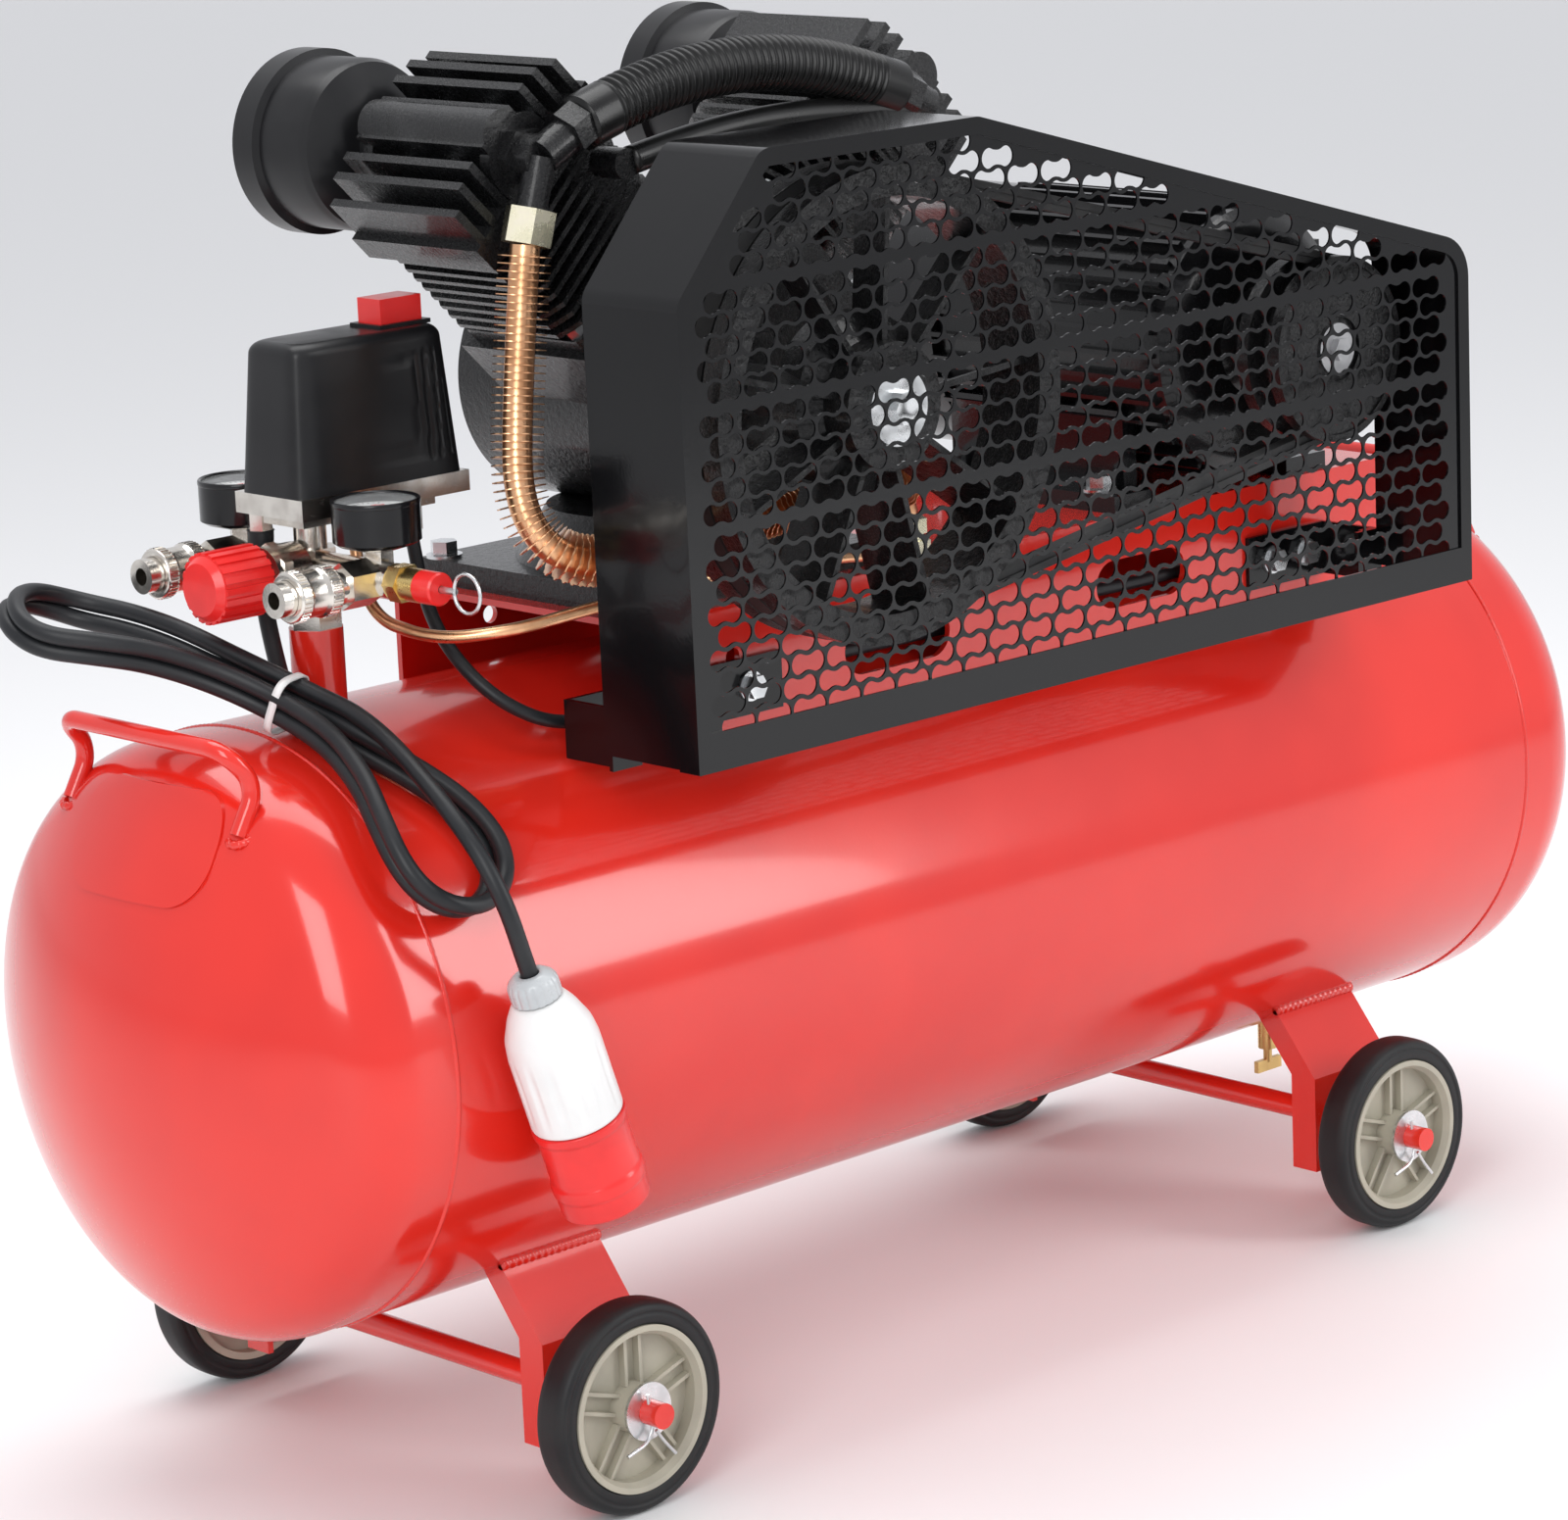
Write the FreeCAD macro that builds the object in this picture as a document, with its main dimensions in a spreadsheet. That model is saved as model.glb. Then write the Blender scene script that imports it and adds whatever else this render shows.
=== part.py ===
"""Belt-driven air compressor on a 100 litre tank, all sizes in millimetres.

X runs along the tank, -Y is the belt guard's side, +Z is up.
The origin is on the floor below the middle of the tank.
"""
import FreeCAD, Part
import math
import os

import Sketcher

from FreeCAD import Placement, Rotation, Vector

SIZES = [
    ("tank_line", 12.0, "offset of the tank's axis from the middle of the whole width"),
    ("tank_radius", 175.0, "outer radius of the tank"),
    ("tank_wall", 3.0, "plate thickness of the tank"),
    ("tank_height", 278.0, "height of the tank's axis"),
    ("seam_reach", 463.0, "from the middle to each head's seam"),
    ("head_flange", 23.0, "straight part of each dished head"),
    ("wheel_radius", 62.5, "outer radius of a tyre"),
    ("wheel_width", 24.0, "width of a tyre"),
    ("rim_radius", 49.0, "outer radius of a wheel's hub moulding"),
    ("wheel_face", 189.5, "outer face of each wheel"),
    ("axle_reach", 207.0, "outer end of each axle stub"),
    ("axle_radius", 7.5, "radius of an axle stub"),
    ("axle_left", -353.5, "axles at the controls' end"),
    ("axle_right", 315.7, "axles at the motor's end"),
    ("saddle_left", -257.0, "left end of the saddle plate"),
    ("saddle_right", 402.0, "right end of the saddle plate"),
    ("saddle_half", 110.0, "half width of the saddle plate"),
    ("saddle_top", 489.5, "top face of the saddle plate"),
    ("saddle_sheet", 4.0, "thickness of the saddle plate"),
    ("crank_place", -145.0, "place of the crankshaft along the tank"),
    ("crank_height", 608.5, "height of the crankshaft"),
    ("flywheel_radius", 136.5, "outer radius of the flywheel"),
    ("flywheel_front", -210.0, "front face of the flywheel"),
    ("flywheel_width", 46.0, "width of the flywheel"),
    ("motor_place", 248.0, "place of the motor's shaft along the tank"),
    ("motor_height", 588.0, "height of the motor's shaft"),
    ("motor_radius", 80.0, "radius of the motor's housing under its fins"),
    ("motor_front", -124.0, "front of the motor's housing"),
    ("motor_length", 190.0, "length of the motor's housing"),
    ("pulley_radius", 57.5, "outer radius of the motor's pulley"),
    ("belt_width", 13.0, "width of the belt"),
    ("belt_depth", 9.0, "depth of the belt"),
    ("guard_front", -231.0, "front of the belt guard's sheet"),
    ("guard_depth", 77.0, "depth of the belt guard's side walls"),
    ("guard_sheet", 1.5, "thickness of the belt guard's sheet"),
    ("bore_radius", 32.5, "radius of a cylinder's bore"),
    ("filter_radius", 54.0, "outer radius of an intake filter"),
    ("filter_back", 124.0, "rear face of the intake filters"),
    ("post_place", -404.0, "place of the outlet post along the tank"),
    ("manifold_height", 535.0, "height of the manifold's bar"),
    ("outlet_side", 60.0, "from the post to each quick coupler"),
    ("cable_radius", 5.0, "radius of the mains cable"),
]


class Size:
    """A length that carries both its number and its formula on the sheet."""

    def __init__(self, number, formula):
        self.number = float(number)
        self.formula = formula

    def __float__(self):
        return self.number

    def __add__(self, other):
        other = sized(other)
        return Size(self.number + other.number, f"({self.formula} + {other.formula})")

    def __radd__(self, other):
        return sized(other) + self

    def __sub__(self, other):
        other = sized(other)
        return Size(self.number - other.number, f"({self.formula} - {other.formula})")

    def __rsub__(self, other):
        return sized(other) - self

    def __mul__(self, other):
        return Size(self.number * float(other), f"({self.formula} * {float(other)})")

    __rmul__ = __mul__

    def __truediv__(self, other):
        return Size(self.number / float(other), f"({self.formula} / {float(other)})")

    def __neg__(self):
        return Size(-self.number, f"(0 - {self.formula})")


def sized(value):
    """Give a bare number the same form as a sheet size."""
    if isinstance(value, Size):
        return value
    return Size(value, repr(float(value)))


doc = FreeCAD.newDocument("air_compressor")
sheet = doc.addObject("Spreadsheet::Sheet", "Sizes")
sizes = {}
for row, (word, number, meaning) in enumerate(SIZES, start=1):
    sheet.set(f"A{row}", word)
    sheet.set(f"B{row}", str(number))
    sheet.setAlias(f"B{row}", word)
    sheet.set(f"C{row}", meaning)
    sizes[word] = Size(number, f"Sizes.{word}")
doc.recompute()

nodes = []
X, Y, Z = Vector(1, 0, 0), Vector(0, 1, 0), Vector(0, 0, 1)


def size(word):
    """The named size of the sheet."""
    return sizes[word]


def bind(piece, prop, value):
    """Set a property, through the sheet where the value comes from there."""
    if isinstance(value, Size):
        piece.setExpression(prop, value.formula)
    else:
        setattr(piece, prop, value)


def place(piece, at, turn=None):
    """Put a piece at a point given from the tank's axis, by sheet sizes where they fit."""
    at = (at[0], at[1] + size("tank_line"), at[2])
    piece.Placement = Placement(Vector(*[float(value) for value in at]), turn or Rotation())
    for axis, value in zip("xyz", at):
        if isinstance(value, Size):
            piece.setExpression(f"Placement.Base.{axis}", value.formula)
    return piece


def along(direction):
    """The rotation that takes +Z to a direction."""
    return Rotation(Z, Vector(*direction))


def primitive(kind, name, at, turn=None, **values):
    """A Part primitive with bound sizes and a bound place."""
    piece = doc.addObject("Part::" + kind, name)
    for prop, value in values.items():
        bind(piece, prop, value)
    return place(piece, at, turn)


def rod(name, radius, length, at, direction=(0, 0, 1)):
    """A round bar from a point along a direction."""
    return primitive("Cylinder", name, at, along(direction), Radius=radius, Height=length)


def cone(name, low, high, length, at, direction=(0, 0, 1)):
    """A tapered round bar."""
    return primitive("Cone", name, at, along(direction), Radius1=low, Radius2=high, Height=length)


def block(name, length, width, height, at, turn=None):
    """A box given by its low corner."""
    return primitive("Box", name, at, turn, Length=length, Width=width, Height=height)


def nut(name, radius, length, at, direction=(0, 0, 1)):
    """A hexagonal prism, radius to its corners."""
    return primitive("Prism", name, at, along(direction), Polygon=6, Circumradius=radius, Height=length)


def cut(name, base, *tools):
    """Take tools away from a base."""
    tool = tools[0] if len(tools) == 1 else fuse(name + "_tools", *tools)
    piece = doc.addObject("Part::Cut", name)
    piece.Base = base
    piece.Tool = tool
    return piece


def fuse(name, *pieces):
    """Join pieces into one solid."""
    piece = doc.addObject("Part::MultiFuse", name)
    piece.Shapes = list(pieces)
    return piece


def common(name, base, tool):
    """Keep what two pieces share."""
    piece = doc.addObject("Part::Common", name)
    piece.Base = base
    piece.Tool = tool
    return piece


def group(name, *pieces):
    """Keep separate solids together in one node."""
    piece = doc.addObject("Part::Compound", name)
    piece.Links = list(pieces)
    return piece


def feature(name, shape):
    """An object whose shape is worked out in code from the sheet's sizes."""
    piece = doc.addObject("Part::Feature", name)
    piece.Shape = shape
    shift = Placement(Vector(0, float(size("tank_line")), 0), Rotation())
    piece.Placement = shift.multiply(shape.Placement)
    return piece


def node(label, piece):
    """Name the finished object of one sub-part."""
    piece.Label = label
    nodes.append(piece)
    return piece


def turned(name, outline, at, direction=(0, 0, 1)):
    """A PartDesign body turned from a closed outline of (radius, height) corners."""
    body = doc.addObject("PartDesign::Body", name)
    sketch = body.newObject("Sketcher::SketchObject", name + "_outline")
    planes = {face.Role: face for face in body.Origin.OriginFeatures}
    sketch.AttachmentSupport = [(planes["XZ_Plane"], "")]
    sketch.MapMode = "FlatFace"
    bound_polygon(sketch, outline)
    turning = body.newObject("PartDesign::Revolution", name + "_turned")
    turning.Profile = sketch
    turning.ReferenceAxis = (sketch, ["V_Axis"])
    turning.Angle = 360
    body.Tip = turning
    return place(body, at, along(direction))


def bound_polygon(sketch, outline):
    """Draw a closed outline and tie every corner that comes from the sheet to it."""
    corners = [Vector(float(across), float(up), 0) for across, up in outline]
    count = len(corners)
    for index in range(count):
        sketch.addGeometry(Part.LineSegment(corners[index], corners[(index + 1) % count]), False)
    for index in range(count):
        sketch.addConstraint(Sketcher.Constraint("Coincident", index, 2, (index + 1) % count, 1))
    for index, corner in enumerate(outline):
        for kind, value in zip(("DistanceX", "DistanceY"), corner):
            number = float(value)
            which = sketch.addConstraint(Sketcher.Constraint(kind, -1, 1, index, 1, number))
            if isinstance(value, Size) and number > 0:
                sketch.setExpression(f"Constraints[{which}]", value.formula)


def smooth_path(points, share=0.45):
    """Straight runs joined by tangent arcs, each as large as its two runs allow."""
    points = [Vector(*[float(value) for value in point]) for point in points]
    edges = []
    radii = []
    start = points[0]
    for before, corner, after in zip(points, points[1:], points[2:]):
        back = before - corner
        ahead = after - corner
        reach = share * min(back.Length, ahead.Length)
        back.normalize()
        ahead.normalize()
        turn = math.pi - back.getAngle(ahead)
        radius = reach / math.tan(turn / 2)
        radii.append(radius)
        first = corner + back * reach
        last = corner + ahead * reach
        inward = back + ahead
        inward.normalize()
        centre = corner + inward * math.hypot(radius, reach)
        middle = centre - inward * radius
        if (first - start).Length > 1e-6:
            edges.append(Part.LineSegment(start, first).toShape())
        edges.append(Part.Arc(first, middle, last).toShape())
        start = last
    edges.append(Part.LineSegment(start, points[-1]).toShape())
    return Part.Wire(edges), radii


def swept(points, radius, share=0.45):
    """A round bar or cable along a smooth path."""
    path, radii = smooth_path(points, share)
    start = path.Edges[0]
    ring = Part.Circle(start.valueAt(start.FirstParameter), start.tangentAt(start.FirstParameter),
                       float(radius))
    solid = path.makePipeShell([Part.Wire([ring.toShape()])], True, False)
    expected = math.pi * float(radius) ** 2 * path.Length
    if abs(solid.Volume - expected) > 0.01 * expected:
        raise RuntimeError(f"a swept bar has volume {solid.Volume:.0f}, not {expected:.0f}")
    return solid, path.Length, min(radii) if radii else 0.0


# ---- The tank ----

tank_radius = size("tank_radius")
tank_height = size("tank_height")
seam = size("seam_reach")
ENVELOPE = rod("tank_envelope", tank_radius, seam * 2, (-seam, 0, tank_height), X)


def tank_shell():
    """The rolled and welded drum between the two heads."""
    outer = rod("drum_outside", tank_radius, seam * 2, (-seam, 0, tank_height), X)
    inner = rod("drum_inside", tank_radius - size("tank_wall"), seam * 2, (-seam, 0, tank_height), X)
    return node("tank_shell", cut("drum", outer, inner))


def head_outline(grow):
    """Corners and arcs of a dished head, grown outwards, in the plane of the axis."""
    radius = float(tank_radius)
    crown = 0.8 * radius * 2
    knuckle = 0.154 * radius * 2
    start = float(seam)
    bend = start + float(size("head_flange"))
    depth = crown - math.sqrt((crown - knuckle) ** 2 - (radius - knuckle) ** 2)
    crown_centre = Vector(bend + depth - crown, 0, 0)
    knuckle_centre = Vector(bend, 0, radius - knuckle)
    outward = (knuckle_centre - crown_centre).normalize()
    meet = knuckle_centre + outward * (knuckle + grow)
    lean = math.atan2(outward.z, outward.x)
    half_knuckle = (math.pi / 2 + lean) / 2
    on_knuckle = knuckle_centre + Vector(math.cos(half_knuckle), 0,
                                         math.sin(half_knuckle)) * (knuckle + grow)
    on_crown = crown_centre + Vector(math.cos(lean / 2), 0, math.sin(lean / 2)) * (crown + grow)
    apex = Vector(bend + depth + grow, 0, 0)
    rim = Vector(bend, 0, radius + grow)
    return [
        Part.LineSegment(Vector(start, 0, radius + grow), rim).toShape(),
        Part.Arc(rim, on_knuckle, meet).toShape(),
        Part.Arc(meet, on_crown, apex).toShape(),
    ]


def head_shell(side, inside, outside):
    """The dished plate between two offsets of the head's outer face, at one end of the tank."""
    outer = head_outline(outside)
    inner = head_outline(inside)
    first = Part.LineSegment(inner[0].Vertexes[0].Point, outer[0].Vertexes[0].Point).toShape()
    last = Part.LineSegment(inner[-1].Vertexes[-1].Point, outer[-1].Vertexes[-1].Point).toShape()
    face = Part.Face(Part.Wire(Part.__sortEdges__(outer + inner + [first, last])))
    shell = face.revolve(Vector(0, 0, 0), X, 360)
    if side < 0:
        shell = shell.rotated(Vector(0, 0, 0), Z, 180)
    return shell.translated(Vector(0, 0, float(tank_height)))


def tank_ends():
    """The two dished heads."""
    heads = [feature(f"head_plate_{word}", head_shell(side, -float(size("tank_wall")), 0.0))
             for word, side in (("left", -1), ("right", 1))]
    return node("tank_ends", group("heads", *heads))


def lifting_handles():
    """A bent bar welded to each head."""
    half, low, bend_up, top = 76.0, 136.0, 162.0, 184.0
    foot, knee, bar = 526.0, 511.0, 530.0
    bars = []
    for word, side in (("left", -1), ("right", 1)):
        axis = float(tank_height)
        points = [(side * foot, half, axis + low), (side * knee, half, axis + bend_up),
                  (side * bar, half - 3, axis + top),
                  (side * bar, 3 - half, axis + top), (side * knee, -half, axis + bend_up),
                  (side * foot, -half, axis + low)]
        bars.append(feature(f"handle_{word}", swept(points, 5.2)[0]))
    return node("lifting_handles", group("handles", *bars))


def data_plate():
    """The blank rating plate that follows the left head."""
    width, low, high, corner = 118.0, 97.0, 157.0, 26.0
    middle = -9.0
    prism = Part.makeBox(200, width, high - low, Vector(-700, middle - width / 2, float(tank_height) + low))
    long_edges = [edge for edge in prism.Edges if abs(edge.tangentAt(edge.FirstParameter).x) > 0.9]
    prism = prism.makeFillet(corner, long_edges)
    plate = head_shell(-1, 0.0, 1.5).common(prism)
    return node("data_plate", feature("plate", plate))


def outlet_post():
    """The red pipe that carries the switch and the manifold."""
    tube = rod("post_tube", 15.5, 60, (size("post_place"), 0, tank_height + tank_radius - 12))
    return node("outlet_post", cut("post", tube, ENVELOPE))


def drain_valve():
    """A brass cock under the right end of the drum, with its own wing tap."""
    drain = 397.0
    boss = nut("drain_hexagon", 10, 20, (drain, 0, tank_height - tank_radius - 11))
    barrel = rod("drain_barrel", 6.5, 24, (drain, 0, tank_height - tank_radius - 34))
    nozzle = rod("drain_nozzle", 3.5, 17, (drain, 0, tank_height - tank_radius - 20), X)
    seat = rod("drain_seat", 3.05, 12, (drain, 0, tank_height - tank_radius - 35))
    brass = cut("drain_brass", fuse("drain_solid", boss, barrel, nozzle), fuse("drain_room", seat, ENVELOPE))
    node("drain_valve", brass)
    stem = rod("drain_stem", 3.0, 18, (drain, 0, tank_height - tank_radius - 44))
    wing = block("drain_wing", 24, 3.6, 8, (drain - 12, -1.8, tank_height - tank_radius - 50))
    return node("drain_tap", fuse("drain_wing_tap", stem, wing))


# ---- The running gear ----

AXLES = (("left", size("axle_left")), ("right", size("axle_right")))
SIDES = (("front", -1), ("rear", 1))


def bracket_outline(inset):
    """The folded bracket seen along the tank: down, then out from under the drum."""
    return [(138 - inset, 34 + inset), (138 - inset, 97), (98 - inset, 147)]


def bracket(word, side, axle):
    """One folded plate with a stiffening edge on its left side."""
    width, sheet_metal, edge_depth = 74.0, 4.0, 20.0
    left = float(axle) + 8 - width / 2
    outer = bracket_outline(0.0)
    inner = bracket_outline(sheet_metal)
    edge = bracket_outline(edge_depth)
    face = [(side * across, up) for across, up in outer + inner[::-1]]
    stiffener = [(side * across, up) for across, up in outer + [edge[2], edge[1], (edge[0][0], 34.0)]]
    plate = prism_along_x(face, left, width)
    return plate.fuse(prism_along_x(stiffener, left, sheet_metal)).removeSplitter()


def prism_along_x(corners, start, length):
    """A solid with (y, z) corners and a length along the tank."""
    wire = Part.makePolygon([Vector(start, across, up) for across, up in corners + corners[:1]])
    return Part.Face(wire).extrude(Vector(length, 0, 0))


def undercarriage():
    """A pair of folded brackets and a cross tube under each end."""
    frames = []
    for word, axle in AXLES:
        plates = [feature(f"bracket_{word}_{side_word}", bracket(word, side, axle)) for side_word,
                  side in SIDES]
        tube = rod(f"cross_tube_{word}", 7.5, 268, (axle + 8 - 37 + 7.5, -134, 73), Y)
        frames.append(cut(f"frame_{word}", fuse(f"frame_{word}_solid", tube, *plates), ENVELOPE))
    return node("undercarriage", group("frames", *frames))


def axle_stubs():
    """Painted stubs welded to the outside of the brackets."""
    reach = size("axle_reach")
    stubs = [rod(f"stub_{word}_{side_word}", size("axle_radius"), reach - 138,
                 (axle, 138 * side, size("wheel_radius")), (0, side, 0))
             for word, axle in AXLES for side_word, side in SIDES]
    return node("axle_stubs", group("stubs", *stubs))


def wheel_fasteners():
    """A washer and an opened cotter pin on every stub."""
    pieces = []
    face = float(size("wheel_face"))
    height = float(size("wheel_radius"))
    for word, axle in AXLES:
        for side_word, side in SIDES:
            tag = f"{word}_{side_word}"
            ring = rod(f"washer_disc_{tag}", 17, 2, (axle, side * (face + 2.6), size("wheel_radius")),
                       (0, side, 0))
            hole = rod(f"washer_hole_{tag}", size("axle_radius") + 0.1, 4,
                       (axle, side * (face + 1.6), size("wheel_radius")), (0, side, 0))
            pieces.append(cut(f"washer_{tag}", ring, hole))
            middle = float(axle)
            out = side * (face + 8.5)
            pin = [(middle - 4, out, height + 12), (middle - 1, out, height - 9),
                   (middle - 7, out + side, height - 16),
                   (middle - 22, out + side, height - 20)]
            leg = [(middle - 1, out + side * 2.4, height - 9.4), (middle + 5, out + side * 2.4, height - 18),
                   (middle + 13, out + side * 2.4, height - 27)]
            pieces.append(feature(f"cotter_{tag}", swept(pin, 1.1)[0]))
            pieces.append(feature(f"cotter_leg_{tag}", swept(leg, 1.0)[0]))
    return node("wheel_fasteners", group("wheel_fixings", *pieces))


def wheel(word, axle, side_word, side):
    """A rubber tyre on a ribbed plastic hub, built from its inner face outwards."""
    tag = f"{side_word}_{word}"
    wide = size("wheel_width")
    outer = size("wheel_radius")
    rim = size("rim_radius")
    at = (axle, side * (size("wheel_face") - wide), size("wheel_radius"))
    out = (0, side, 0)
    tread = turned(f"tyre_body_{tag}",
                   [(rim, 0), (outer - 6, 0), (outer - 1.5, 2), (outer, 6), (outer, wide - 6),
                                        (outer - 1.5, wide - 2), (outer - 6, wide), (rim, wide)], at, out)
    node(f"tyre_{tag}", tread)
    web = turned(f"hub_body_{tag}",
                 [(7.56, 0), (14, 0), (14, 8), (44.5, 8), (44.5, 0), (rim, 0), (rim, wide),
                                     (45.5, wide), (43, wide - 4), (43, 12), (15, 12), (14, wide + 1),
                                     (7.56, wide + 1)], at, out)
    ribs = []
    for pair in range(5):
        for offset in (-5.5, 5.5):
            angle = 360 / 5 * pair + 18
            turn = along(out).multiply(Rotation(Z, angle))
            corner = turn.multVec(Vector(13.6, offset - 1.1, 11.5))
            base = [value + part for value, part in zip(at, corner)]
            ribs.append(block(f"rib_{tag}_{pair}_{int(offset)}", 30.5, 2.2, 5.5, base, turn))
    node(f"hub_{tag}", fuse(f"hub_solid_{tag}", web, *ribs))


# ---- The saddle plate and the belt guard ----

def saddle_plate():
    """The bridge over the drum: a top, two skirts, slots and bolt holes."""
    left, right = size("saddle_left"), size("saddle_right")
    half, top, metal = size("saddle_half"), size("saddle_top"), size("saddle_sheet")
    outside = block("saddle_outside", right - left, half * 2, 100, (left, -half, top - 100))
    inside = block("saddle_inside", right - left, half * 2 - metal * 2, 100,
                   (left, metal - half, top - metal - 100))
    tools = [inside, ENVELOPE]
    for number, (start, end, height) in enumerate(((-95.5, -7.0, 444.5), (123.0, 204.5, 447.5))):
        radius = 15.0
        tools.append(block(f"slot_{number}", end - start - radius * 2, 300, radius * 2,
                           (start + radius, -150, height - radius)))
        tools.append(rod(f"slot_start_{number}", radius, 300, (start + radius, -150, height), Y))
        tools.append(rod(f"slot_end_{number}", radius, 300, (end - radius, -150, height), Y))
    tools.append(rod("hole_low", 5.5, 300, (-186, -150, 458.5), Y))
    tools.append(rod("cable_hole", 11.0, 20, (367, -31, top - 10)))
    return node("saddle_plate", cut("saddle", outside, *tools))


GUARD_CORNERS = [(-326.0, 431.0), (-327.0, 691.0), (-260.0, 768.0), (-91.0, 768.0), (340.0, 645.0),
                 (340.0, 431.0)]
GUARD_BENDS = [0.5, 14.0, 14.0, 14.0, 28.0, 0.5]


def guard_outline(inset):
    """The guard's outline in the plane of its front, moved inwards, with its bends rounded."""
    count = len(GUARD_CORNERS)
    corners = [Vector(across, 0, up) for across, up in GUARD_CORNERS]
    moved = []
    for index in range(count):
        before, here, after = corners[index - 1], corners[index], corners[(index + 1) % count]
        first = (here - before).normalize()
        second = (after - here).normalize()
        normal_first = Vector(first.z, 0, -first.x)
        normal_second = Vector(second.z, 0, -second.x)
        share = 1 + normal_first.dot(normal_second)
        moved.append(here + (normal_first + normal_second) * (inset / share))
    edges = []
    joints = []
    for index in range(count):
        before, here, after = moved[index - 1], moved[index], moved[(index + 1) % count]
        back = (before - here).normalize()
        ahead = (after - here).normalize()
        turn = math.pi - back.getAngle(ahead)
        radius = max(GUARD_BENDS[index] - inset, 0.4)
        reach = radius * math.tan(turn / 2)
        inward = (back + ahead).normalize()
        centre = here + inward * math.hypot(radius, reach)
        joints.append((here + back * reach, centre - inward * radius, here + ahead * reach))
    for index, (start, middle, end) in enumerate(joints):
        edges.append(Part.Arc(start, middle, end).toShape())
        edges.append(Part.LineSegment(end, joints[(index + 1) % count][0]).toShape())
    return Part.Wire(edges)


def guard_slab(inset, front, depth):
    """The guard's filled outline as a slab."""
    slab = Part.Face(guard_outline(inset)).extrude(Vector(0, depth, 0))
    return slab.translated(Vector(0, front, 0))


def guard_shell():
    """The bent sheet wall, its turned-in front edge and the rail along the bottom."""
    front, depth, metal = float(size("guard_front")), float(size("guard_depth")), float(size("guard_sheet"))
    edge, rail, fold = 10.0, 22.0, 16.0
    low = GUARD_CORNERS[0][1]
    wall = guard_slab(0.0, front, depth).cut(guard_slab(metal, front, depth))
    opening = Part.makeBox(900, depth + 2, 2.0, Vector(-500, front + fold, low - 0.5))
    lip = guard_slab(0.0, front, metal).cut(guard_slab(edge, front, metal))
    board = guard_slab(0.0, front, metal).common(Part.makeBox(900, 10, rail, Vector(-500, front - 5, low)))
    shell = wall.cut(opening).fuse([lip, board]).removeSplitter()
    return node("guard_shell", feature("guard_sheet_metal", shell))


def mesh_hole(across, up):
    """One hole: two round lobes joined by a waist whose arcs run round the lobes above and below."""
    lobe, spread, pitch = 5.95, 6.83, 12.4
    gap = math.hypot(spread, pitch)
    waist = gap - lobe
    lean = Vector(spread, 0, pitch) * (lobe / gap)
    centre = Vector(across, 0, up)
    right, left = centre + Vector(spread, 0, 0), centre - Vector(spread, 0, 0)
    corner = [Vector(spread - lean.x, 0, lean.z), Vector(lean.x - spread, 0, lean.z),
              Vector(lean.x - spread, 0, -lean.z), Vector(spread - lean.x, 0, -lean.z)]
    top, bottom = Vector(0, 0, pitch - waist), Vector(0, 0, waist - pitch)
    arcs = [
        Part.Arc(centre + corner[0], centre + top, centre + corner[1]),
        Part.Arc(centre + corner[1], left - Vector(lobe, 0, 0), centre + corner[2]),
        Part.Arc(centre + corner[2], centre + bottom, centre + corner[3]),
        Part.Arc(centre + corner[3], right + Vector(lobe, 0, 0), centre + corner[0]),
    ]
    return Part.Wire([arc.toShape() for arc in arcs])


def inside_guard(across, up, margin):
    """Whether a point lies inside the guard's outline by a margin."""
    corners = [Vector(x, 0, z) for x, z in GUARD_CORNERS]
    for here, after in zip(corners, corners[1:] + corners[:1]):
        run = (after - here).normalize()
        if (Vector(across, 0, up) - here).dot(Vector(run.z, 0, -run.x)) < margin:
            return False
    return True


def mesh_rows():
    """Heights of the rows of holes, in bands of five between the plain strips."""
    strips = (564.2, 630.9, 697.6)
    half_strip, pitch = 8.9, 12.4
    rows = [strips[0] - half_strip - pitch * 1.02 * index for index in range(10)]
    for strip in strips:
        rows += [strip + half_strip + pitch * index * 0.985 for index in range(5)]
    return sorted(rows)


def guard_mesh():
    """The punched screen behind the guard's front edge."""
    metal, pitch = 1.2, 27.3
    front = float(size("guard_front")) + float(size("guard_sheet"))
    sheet_face = Part.Face(guard_outline(float(size("guard_sheet")) + 0.1))
    holes = []
    for row, up in enumerate(mesh_rows()):
        shift = pitch / 4 * (row % 2)
        for column in range(-13, 14):
            across = column * pitch + shift
            reach = [(across - 13.5, up), (across + 13.5, up), (across - 7, up + 7), (across + 7, up + 7),
                     (across - 7, up - 7), (across + 7, up - 7)]
            if all(inside_guard(x, z, 4.0) for x, z in reach):
                holes.append(mesh_hole(across, up))
    screen = Part.Face([sheet_face.OuterWire] + holes)
    screen.validate()
    return node("guard_mesh",
                feature("screen", screen.extrude(Vector(0, metal, 0)).translated(Vector(0, front, 0))))


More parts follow.
